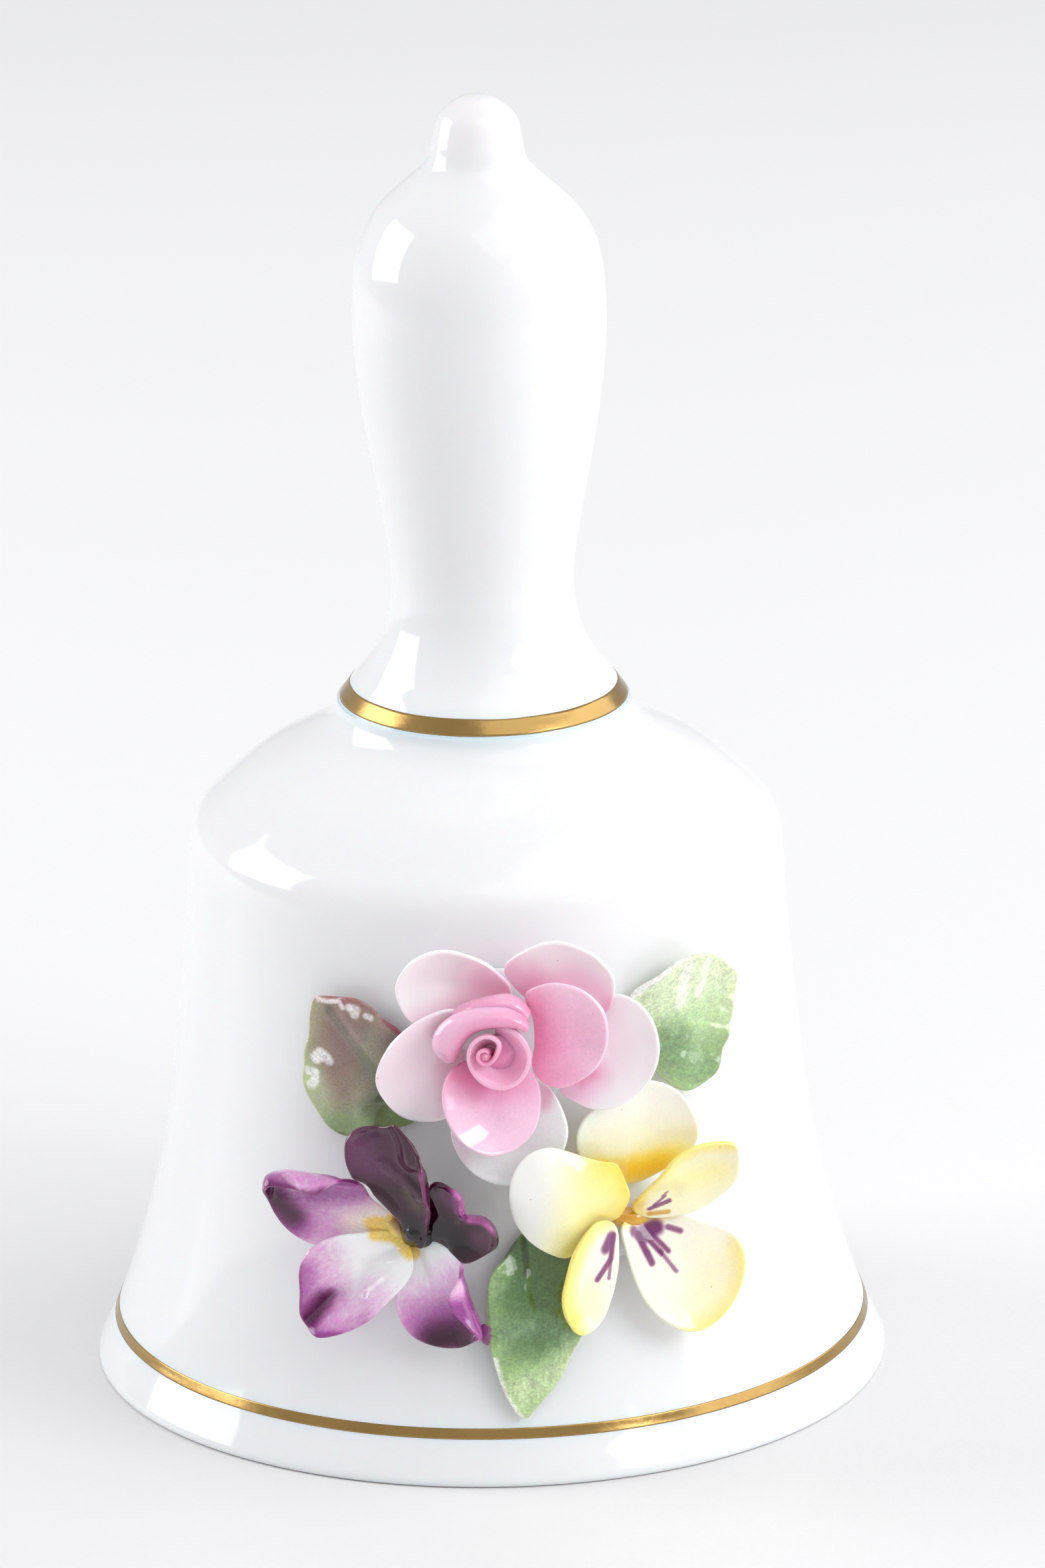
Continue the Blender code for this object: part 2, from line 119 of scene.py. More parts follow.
# Each petal, in millimetres (across, up, out) of the flower that its name starts with: its heart, its
# edge from the base round to the base, and what bends it. curls are (direction, spread, degrees,
# width) and roll the edge forward. creases are (path, width, height). strokes are (paint, strength,
# width, path), brushed in that order.
PETALS = {
    "rose_petal_bottom_back": {
        "heart": (1.9, -8.7, 3.0),
        "edge": [
            (2.3, -3.6, 2.2), (-2.5, -5.6, 2.6), (-3.6, -8.3, 3.6), (-3.0, -10.5, 4.2), (-1.4, -12.4, 4.6),
            (1.5, -13.4, 4.8), (4.5, -12.7, 4.6), (6.8, -10.4, 4.4), (7.3, -7.7, 4.0), (5.0, -3.8, 2.6),
        ],
        "strokes": [
            ("white", 0.6, 24.0, [(1.9, -8.7)]),
            ("pink", 0.45, 1.6, [(5.5, -4.7), (5.3, -5.8)]),
            ("blush", 0.4, 1.5, [(-3.3, -8.7), (-2.6, -10.6)]),
        ],
    },
    "rose_petal_top_left": {
        "heart": (-3.3, 5.5, 3.0),
        "edge": [
            (1.5, 4.1, 3.2), (2.3, 5.4, 3.6), (0.6, 7.9, 4.4), (-2.0, 9.4, 4.8), (-4.7, 9.8, 4.8),
            (-7.3, 8.5, 4.6), (-8.6, 5.8, 4.2), (-7.0, 2.3, 3.6), (-3.9, 2.3, 3.0),
        ],
        "strokes": [
            ("blush", 0.2, 24.0, [(-1.5, 5.5)]),
            ("pink", 0.36, 6.0, [(2.0, 5.6), (0.0, 6.6)]),
            ("pink", 0.16, 3.4, [(0.1, 4.5), (-3.5, 3.6), (-6.4, 2.4)]),
            ("rose", 0.3, 1.6, [(0.6, 4.2), (-2.1, 3.3)]),
        ],
    },
    "rose_petal_top_right": {
        "heart": (6.8, 6.1, 3.0),
        "edge": [
            (4.3, 3.6, 2.2), (1.5, 7.4, 3.0), (3.8, 9.6, 3.8), (6.3, 10.4, 4.2), (9.5, 9.3, 4.2),
            (11.6, 7.2, 4.2), (11.8, 5.2, 4.0), (11.0, 3.0, 3.4), (7.7, 2.1, 2.4),
        ],
        "strokes": [
            ("blush", 0.22, 24.0, [(6.8, 6.1)]),
            ("pink", 0.36, 4.0, [(1.0, 7.2), (3.6, 6.6), (3.6, 5.0)]),
            ("pink", 0.26, 3.0, [(4.7, 5.6), (7.7, 6.4), (10.4, 5.4), (11.6, 3.4)]),
            ("rose", 0.2, 1.6, [(11.3, 4.2), (10.9, 3.0)]),
        ],
    },
    "rose_petal_far_right": {
        "heart": (11.2, -1.0, 2.9),
        "edge": [
            (7.1, -2.0, 2.4), (8.9, 2.6, 2.4), (12.0, 4.8, 3.2), (13.9, 4.2, 3.8), (15.4, 2.2, 4.2),
            (15.9, -0.3, 4.4), (15.4, -2.6, 4.4), (14.2, -4.4, 4.4), (12.2, -5.7, 4.4), (10.1, -6.2, 4.2),
            (8.0, -5.6, 3.8), (6.5, -4.5, 3.0),
        ],
        "strokes": [
            ("blush", 0.1, 24.0, [(11.2, -1.0)]),
            ("pink", 0.45, 3.4, [(6.5, -4.8), (8.6, -4.6), (9.9, -3.0)]),
            ("rose", 0.3, 1.6, [(9.6, -3.0), (8.6, -3.6)]),
            ("pink", 0.12, 5.0, [(11.7, 0.2), (10.8, -1.7)]),
        ],
    },
    "rose_petal_right": {
        "heart": (7.5, 1.3, 5.0),
        "edge": [
            (4.3, 0.4, 4.4), (4.1, 3.5, 4.6), (3.4, 5.6, 5.2), (4.7, 6.7, 6.0), (6.6, 7.1, 6.6),
            (8.9, 6.4, 6.8), (10.6, 4.5, 6.8), (11.1, 2.2, 6.6), (10.7, -0.1, 6.4), (9.4, -1.9, 6.4),
            (6.7, -3.3, 6.2), (4.9, -2.8, 5.6), (4.1, -1.8, 5.0),
        ],
        "strokes": [
            ("blush", 0.9, 30.0, [(7.6, 2.1)]),
            ("pink", 0.5, 11.0, [(6.2, 1.6)]),
            ("rose", 0.35, 5.0, [(4.2, 4.9), (4.6, 3.1), (5.0, 0.3), (4.4, -2.2)]),
            ("rose", 0.2, 3.0, [(5.2, -3.0), (7.8, -2.4)]),
        ],
    },
    "rose_petal_left": {
        "heart": (-6.2, -1.8, 4.2),
        "edge": [
            (-1.8, -1.4, 3.4), (-2.1, 1.9, 4.2), (-3.1, 4.2, 5.2), (-5.8, 3.6, 5.6), (-8.5, 1.6, 5.6),
            (-10.2, -1.1, 5.4), (-10.5, -3.1, 5.2), (-9.6, -5.0, 5.0), (-8.1, -6.5, 4.8),
            (-5.9, -7.0, 4.6), (-3.8, -6.7, 4.2), (-2.2, -4.6, 3.8),
        ],
        "strokes": [
            ("blush", 0.3, 24.0, [(-6.1, -1.4)]),
            ("pink", 0.12, 6.0, [(-2.4, 3.9), (-4.6, 2.2), (-3.9, -0.8)]),
            ("pink", 0.08, 10.0, [(-7.1, -1.9)]),
        ],
    },
    "rose_petal_bottom": {
        "heart": (0.3, -5.5, 5.7),
        "edge": [
            (0.9, -1.6, 4.0), (-2.1, -0.9, 5.0), (-3.6, -1.4, 6.4), (-4.3, -3.1, 7.2), (-4.2, -4.8, 7.8),
            (-3.5, -6.7, 8.0), (-2.2, -8.3, 8.0), (0.2, -9.4, 7.6), (2.6, -9.0, 6.9), (4.2, -7.5, 6.2),
            (4.8, -5.2, 5.7), (4.6, -3.0, 5.4), (3.7, -1.8, 4.8),
        ],
        "strokes": [
            ("pink", 0.5, 30.0, [(0.3, -5.5)]),
            ("pink", 0.5, 5.0, [(-2.5, -2.5), (-0.4, -4.2), (2.8, -3.9)]),
            ("blush", 0.6, 5.0, [(-2.4, -6.2), (0.6, -7.6), (3.4, -6.2)]),
            ("rose", 0.3, 3.0, [(-3.0, -1.4), (-1.1, -3.3)]),
        ],
    },
    "purple_petal_upper": {
        "heart": (0.4, 6.2, 4.8),
        "edge": [
            (2.6, -1.4, 3.9), (3.3, -0.2, 4.3), (3.6, 1.4, 4.8), (3.9, 3.8, 5.6), (3.9, 6.2, 6.4),
            (3.5, 8.2, 6.8), (2.7, 10.2, 6.8), (1.9, 11.1, 6.4), (1.0, 12.0, 6.2), (1.0, 12.0, 6.2),
            (0.1, 11.4, 6.0), (-1.3, 11.1, 6.0), (-2.8, 10.8, 6.0), (-3.8, 9.8, 6.2), (-4.0, 8.5, 6.2),
            (-3.8, 6.9, 6.0), (-3.4, 5.9, 5.6), (-2.3, 5.2, 5.0), (-0.9, 3.5, 4.4), (0.7, 1.5, 4.1),
            (1.6, -0.4, 3.9),
        ],
        "curls": [(-6.0, 55.0, 150.0, 1.3)],
        "creases": [
            ([(1.0, 12.2), (1.9, 10.2), (2.2, 8.2)], 0.7, 0.8),
            ([(-1.0, 10.9), (-2.6, 10.2)], 0.7, -0.6),
            ([(-0.6, 7.4), (1.4, 6.2), (3.2, 4.6)], 0.5, 0.4),
            ([(-3.4, 5.6), (-0.9, 4.0), (0.6, 2.4)], 0.5, 0.5),
        ],
        "strokes": [
            ("aubergine", 1.0, 40.0, [(0.2, 7.0)]),
            ("violet", 0.4, 4.0, [(-3.0, 9.2), (-2.1, 7.2)]),
            ("dusk", 0.4, 3.4, [(-2.4, 10.2), (-2.4, 8.2), (0.2, 6.8)]),
            ("dusk", 0.3, 3.0, [(0.4, 9.4), (2.0, 7.2)]),
            ("orchid", 0.5, 1.5, [(4.2, 9.4), (5.4, 6.6), (5.4, 4.2), (4.4, 1.8)]),
            ("olive", 0.45, 1.8, [(1.8, 4.6), (2.6, 3.4)]),
            ("aubergine", 0.6, 1.2, [(-3.6, 5.8), (-1.2, 4.2), (0.4, 2.2)]),
            ("night", 0.9, 2.6, [(2.0, 1.4), (2.6, -1.0)]),
        ],
    },
    "purple_petal_right": {
        "heart": (5.6, 1.3, 3.6),
        "edge": [
            (2.0, 0.0, 3.0), (3.0, 2.0, 3.6), (3.6, 4.4, 4.6), (3.9, 5.6, 4.8), (4.7, 6.0, 5.0),
            (6.0, 5.4, 5.2), (7.0, 4.4, 5.6), (6.9, 3.2, 5.0), (7.5, 2.6, 5.0), (9.0, 2.8, 5.2),
            (10.1, 2.1, 5.4), (10.4, 1.0, 5.2), (10.1, -0.2, 5.0), (8.9, -1.3, 4.6), (6.9, -2.2, 4.2),
            (5.6, -1.5, 3.8), (4.0, -0.8, 3.4),
        ],
        "curls": [(10.0, 45.0, 120.0, 1.4), (65.0, 35.0, 110.0, 1.2)],
        "ruffle": (0.35, 4, 40.0),
        "strokes": [
            ("aubergine", 1.0, 40.0, [(6.1, 1.9)]),
            ("dusk", 0.5, 2.2, [(8.2, 0.4), (9.4, 0.6)]),
            # Painted highlight: lighter orchid along the ruffled edge, where light catches the fold.
            ("orchid", 0.8, 1.9, [(6.6, 5.4), (7.4, 3.7), (8.2, 3.2), (9.6, 3.6), (11.4, 2.4)]),
            ("mauve", 0.6, 1.1, [(6.3, 4.2), (6.5, 3.1), (7.4, 2.3), (8.8, 2.4)]),
            ("violet", 0.4, 2.0, [(5.0, 4.6), (6.0, 3.4)]),
            ("night", 0.8, 3.0, [(2.6, 0.4), (4.6, 0.6), (6.4, -0.6)]),
        ],
    },
    "purple_petal_left": {
        "heart": (-6.7, 1.9, 3.6),
        "edge": [
            (0.4, 0.1, 2.7), (-0.9, 1.8, 2.9), (-2.2, 3.2, 3.4), (-2.9, 4.8, 4.4), (-4.7, 5.5, 5.2),
            (-7.2, 5.6, 5.6), (-9.9, 5.9, 5.6), (-11.7, 5.6, 5.8), (-11.7, 5.6, 5.8), (-11.6, 2.8, 5.6),
            (-10.6, 0.5, 5.0), (-9.3, -0.8, 4.6), (-7.5, -1.5, 4.4), (-5.2, -0.9, 3.8), (-2.5, -0.6, 3.2),
        ],
        "curls": [(110.0, 70.0, 205.0, 3.0)],
        "strokes": [
            ("mauve", 0.6, 8.0, [(-9.6, 2.2), (-6.6, 3.6), (-3.6, 4.6)]),
            ("orchid", 0.4, 4.0, [(-8.0, 0.0), (-6.0, -0.8)]),
            ("violet", 0.65, 3.8, [(-12.4, 4.4), (-10.8, 1.8), (-9.6, 0.4)]),
            ("violet", 0.5, 2.6, [(-7.9, 3.4), (-5.6, 3.8), (-2.9, 4.2)]),
            ("orchid", 0.25, 4.0, [(-12.6, 6.6), (-9.4, 7.4), (-4.2, 6.8)]),
            ("mauve", 0.35, 1.2, [(-12.4, 6.4), (-9.6, 6.8), (-6.7, 6.8), (-4.2, 6.2)]),
            ("plum", 0.65, 2.6, [(-13.6, 6.6), (-12.4, 7.0), (-11.4, 7.4)]),
            ("plum", 0.85, 1.4, [(-13.6, 6.4), (-11.8, 7.8), (-9.4, 8.3), (-6.7, 8.1), (-4.0, 7.5)]),
            # Painted shadow: dark aubergine in the fold under the curled flap.
            ("aubergine", 0.75, 2.4, [(-12.4, 4.4), (-10.6, 2.4), (-9.6, 1.2)]),
            ("violet", 0.8, 1.1, [(-11.4, 5.4), (-9.0, 5.0), (-6.0, 5.4), (-3.4, 5.4)]),
            ("cream", 0.45, 2.6, [(-1.6, 1.8), (-4.2, 0.7)]),
            ("yolk", 0.65, 1.4, [(-2.2, 0.6), (-0.6, 0.6), (0.0, 1.4)]),
        ],
    },
    "purple_petal_low_left": {
        "heart": (-4.2, -4.7, 4.2),
        "edge": [
            (1.0, -0.7, 3.0), (-0.8, 0.0, 3.2), (-3.0, 0.0, 4.4), (-5.0, -0.1, 5.4), (-6.6, -0.7, 6.0),
            (-7.8, -1.8, 6.6), (-8.3, -3.2, 7.0), (-8.4, -5.6, 7.0), (-8.5, -8.2, 6.8), (-8.2, -8.9, 6.8),
            (-7.5, -9.5, 6.8), (-6.0, -9.7, 7.0), (-4.2, -9.2, 6.8), (-2.2, -8.1, 6.6), (-0.2, -6.2, 6.2),
            (1.3, -4.6, 5.6), (2.0, -3.4, 4.8), (1.9, -2.0, 4.0),
        ],
        "creases": [
            ([(-8.5, -9.6), (-7.0, -7.8), (-5.8, -6.4)], 1.0, -0.8),
            ([(-7.0, -9.8), (-5.4, -7.6)], 0.8, 0.4),
            ([(0.0, -1.8), (-1.6, -2.4), (-3.0, -3.2)], 0.5, -0.45),
            ([(0.9, -2.4), (0.4, -3.9), (-1.8, -6.0)], 0.8, 0.35),
        ],
        "strokes": [
            ("mauve", 0.6, 7.0, [(-8.4, -2.2), (-8.2, -5.7), (-7.4, -9.6)]),
            ("orchid", 0.4, 6.0, [(-5.4, -7.3), (-3.7, -8.4), (-1.5, -7.2)]),
            ("violet", 0.6, 3.0, [(-8.6, -3.4), (-8.8, -6.4), (-8.2, -9.4)]),
            ("violet", 0.4, 2.0, [(-6.9, -9.8), (-4.1, -9.6), (-2.0, -8.2)]),
            ("aubergine", 0.75, 2.2, [(-6.6, -6.4), (-7.5, -8.0), (-8.6, -9.4)]),
            ("violet", 0.7, 0.9, [(-8.8, -3.4), (-8.9, -8.4), (-7.7, -9.9), (-4.5, -9.7)]),
            ("yolk", 0.65, 1.3, [(-1.8, -0.2), (0.0, -0.5), (1.6, -1.7)]),
        ],
    },
    "purple_petal_low_right": {
        "heart": (3.6, -5.8, 3.9),
        "edge": [
            (1.4, -0.8, 2.6), (0.9, -3.0, 3.4), (0.5, -5.0, 4.2), (0.2, -6.2, 4.6), (0.7, -8.0, 5.0),
            (2.0, -9.6, 5.1), (4.1, -10.4, 5.1), (6.4, -10.5, 5.0), (8.0, -9.7, 5.0), (9.3, -8.8, 5.1),
            (9.3, -8.8, 5.1), (8.1, -7.0, 5.0), (7.3, -4.9, 4.8), (7.0, -3.2, 4.6), (6.4, -1.7, 4.2),
            (3.6, -0.6, 3.2),
        ],
        "curls": [(3.0, 54.0, 205.0, 3.6)],
        "creases": [([(1.9, -1.4), (3.0, -3.6)], 0.6, -0.3)],
        "strokes": [
            ("orchid", 0.4, 5.0, [(1.6, -6.9), (4.0, -6.4), (5.8, -4.4)]),
            ("mauve", 0.6, 5.0, [(2.4, -8.6), (5.0, -7.6)]),
            ("violet", 0.7, 4.4, [(3.4, -10.0), (5.6, -8.4), (7.6, -7.6)]),
            ("aubergine", 0.9, 3.4, [(4.2, -10.0), (6.1, -9.5), (7.8, -10.2)]),
            ("orchid", 0.4, 5.0, [(8.8, -1.6), (9.6, -4.4), (10.6, -8.0)]),
            ("mauve", 0.85, 4.6, [(10.0, -5.6), (11.2, -10.4)]),
            ("violet", 0.55, 3.4, [(8.9, -6.0), (9.5, -7.4), (10.8, -9.8)]),
            ("violet", 0.6, 0.8, [(7.2, -2.0), (7.8, -4.4), (8.2, -6.4)]),
            ("violet", 0.6, 1.0, [(9.6, -2.2), (10.5, -5.8), (11.8, -9.8)]),
            ("yolk", 0.6, 1.2, [(1.0, -0.9), (1.7, -2.1)]),
        ],
    },
    "yellow_petal_top": {
        "heart": (1.3, 8.1, 2.2),
        "edge": [
            (0.8, 2.9, 1.8), (-2.0, 4.4, 1.8), (-4.3, 6.3, 2.0), (-4.7, 8.4, 2.2), (-4.1, 10.1, 2.4),
            (-2.6, 11.6, 2.6), (-0.3, 12.7, 2.8), (2.4, 13.2, 3.0), (4.5, 12.4, 3.4), (6.1, 10.6, 3.8),
            (6.9, 8.3, 4.0), (6.8, 6.4, 3.6), (4.8, 4.6, 2.8), (2.8, 3.4, 2.2),
        ],
        "strokes": [
            ("cream", 0.35, 40.0, [(1.3, 8.1)]),
            ("lemon", 0.3, 6.0, [(-2.6, 6.4), (1.0, 6.6), (5.2, 6.6)]),
            ("yellow", 0.7, 3.0, [(-3.2, 4.8), (-0.2, 4.6), (2.7, 5.0), (5.0, 5.4)]),
            ("yolk", 0.75, 3.0, [(-2.0, 4.3), (1.6, 4.2), (3.6, 4.6)]),
        ],
    },
    "yellow_petal_left": {
        "heart": (-6.3, 3.0, 4.8),
        "edge": [
            (-1.3, 0.4, 3.8), (-0.8, 1.6, 4.6), (-0.5, 3.0, 5.0), (-1.0, 4.6, 5.0), (-1.7, 6.3, 4.8),
            (-1.7, 6.3, 4.8), (-3.1, 6.5, 4.4), (-4.6, 7.0, 4.0), (-6.4, 7.8, 3.8), (-8.2, 8.4, 3.6),
            (-10.0, 8.0, 3.4), (-11.3, 6.5, 3.2), (-11.9, 4.4, 3.0), (-11.5, 1.8, 3.0), (-10.3, -0.3, 3.2),
            (-8.6, -1.9, 3.4), (-6.2, -2.9, 3.4), (-4.4, -1.7, 3.4), (-2.8, 0.0, 3.6),
        ],
        "strokes": [
            ("cream", 0.2, 40.0, [(-6.3, 3.0)]),
            ("lemon", 0.7, 7.0, [(-4.2, 5.9), (-4.8, 2.0), (-5.6, -1.8)]),
            ("yellow", 0.75, 5.4, [(-1.6, 6.2), (-0.4, 2.9), (-1.4, 0.6)]),
            ("yolk", 0.35, 2.0, [(-0.9, 5.3), (0.0, 2.8), (-1.0, 0.4)]),
            ("yellow", 0.5, 3.0, [(-3.2, -0.8), (-6.0, -2.8)]),
        ],
    },
    "yellow_petal_upper_right": {
        "heart": (5.4, 3.3, 4.8),
        "edge": [
            (1.0, 0.2, 3.6), (0.2, 1.4, 4.2), (0.8, 2.7, 4.8), (2.0, 4.5, 5.8), (3.5, 6.4, 6.4),
            (5.6, 7.5, 6.8), (7.7, 7.6, 7.0), (9.4, 7.2, 7.0), (9.9, 5.3, 6.8), (9.6, 3.1, 6.2),
            (8.5, 1.8, 5.6), (6.8, 0.6, 5.0), (4.9, 0.0, 4.4), (3.0, -0.1, 3.9),
        ],
        "creases": [([(1.2, 1.0), (4.0, 2.6)], 1.1, -0.5)],
        "strokes": [
            ("cream", 0.5, 40.0, [(5.4, 3.3)]),
            ("lemon", 0.35, 12.0, [(5.2, 4.4)]),
            ("yellow", 0.55, 2.4, [(0.4, 2.4), (1.6, 4.4), (3.4, 6.6), (6.0, 7.8), (9.0, 7.6)]),
            ("lemon", 0.4, 3.0, [(3.1, 3.6), (8.3, 4.4)]),
            ("yolk", 0.6, 2.4, [(0.2, 1.8), (0.8, 0.2)]),
            ("plum", 0.75, 0.42, [(2.0, 0.9), (3.8, 1.6)]),
            ("plum", 0.65, 0.34, [(2.4, 1.3), (3.3, 2.2)]),
            ("plum", 0.55, 0.3, [(3.0, 2.3), (3.4, 2.7)]),
            ("ochre", 0.7, 0.42, [(2.0, 0.35), (3.7, 0.55)]),
        ],
    },
    "yellow_petal_low_right": {
        "heart": (5.2, -6.1, 4.2),
        "edge": [
            (0.2, 0.1, 2.6), (-0.9, -0.8, 3.4), (-0.7, -2.6, 3.9), (-0.1, -5.3, 4.6), (1.0, -7.9, 5.0),
            (2.6, -9.8, 5.4), (4.6, -11.1, 5.6), (6.2, -11.3, 5.8), (8.0, -10.5, 6.0), (9.8, -8.6, 6.0),
            (10.7, -6.1, 6.0), (10.6, -3.8, 5.8), (9.6, -2.1, 5.4), (8.0, -1.2, 5.0), (6.0, -0.5, 4.2),
            (4.2, 0.1, 3.4), (2.1, 0.4, 2.8),
        ],
        "strokes": [
            ("cream", 0.5, 40.0, [(5.2, -6.1)]),
            ("lemon", 0.25, 7.0, [(9.0, -5.6), (7.4, -8.8)]),
            ("yellow", 0.45, 2.8, [(10.6, -3.1), (11.0, -6.1), (10.0, -9.0), (7.7, -10.8), (5.1, -11.6)]),
            ("plum", 0.85, 1.0, [(0.4, -1.3), (1.0, -1.7)]),
            ("plum", 0.95, 1.5, [(1.4, -1.6), (2.7, -1.2)]),
            ("plum", 0.85, 0.65, [(0.7, -1.8), (1.9, -4.4)]),
            ("plum", 0.85, 0.55, [(1.5, -1.9), (2.9, -3.6)]),
            ("plum", 0.65, 0.42, [(2.8, -3.4), (4.3, -5.5)]),
            ("plum", 0.8, 0.5, [(2.3, -1.9), (3.7, -3.5)]),
            ("plum", 0.7, 0.55, [(3.9, -1.3), (5.0, -1.7)]),
            ("yolk", 0.8, 1.6, [(-0.6, -0.1), (1.4, 0.1), (3.9, 0.3)]),
            ("ochre", 0.7, 1.0, [(0.2, 0.2), (2.4, 0.4), (3.8, 0.4)]),
        ],
    },
    "yellow_petal_low_left": {
        "heart": (-4.6, -4.2, 5.4),
        "edge": [
            (-1.7, -0.2, 4.4), (-2.6, 0.7, 4.8), (-4.0, 0.9, 5.4), (-5.5, 0.0, 6.0), (-7.0, -1.8, 6.6),
            (-7.8, -3.9, 6.8), (-8.1, -5.9, 6.8), (-7.6, -8.0, 6.8), (-6.6, -9.4, 6.8), (-5.1, -9.4, 6.4),
            (-3.6, -8.3, 6.0), (-2.7, -6.6, 5.6), (-2.0, -4.5, 5.2), (-1.7, -2.3, 4.8),
        ],
        "strokes": [
            ("cream", 0.6, 40.0, [(-4.6, -4.2)]),
            ("lemon", 0.4, 5.0, [(-5.9, -6.6)]),
            ("yellow", 0.65, 2.6, [
                (-2.2, 1.0), (-4.5, 1.0), (-6.1, -0.7), (-7.7, -3.9), (-8.0, -6.4), (-6.6, -9.8),
            ]),
            ("plum", 0.85, 1.1, [(-2.6, -0.9), (-3.2, -1.8)]),
            ("plum", 0.8, 0.55, [(-2.2, -0.8), (-2.7, -2.9), (-4.2, -4.6)]),
            ("plum", 0.6, 0.36, [(-2.7, -3.0), (-3.0, -4.7)]),
        ],
    },
}

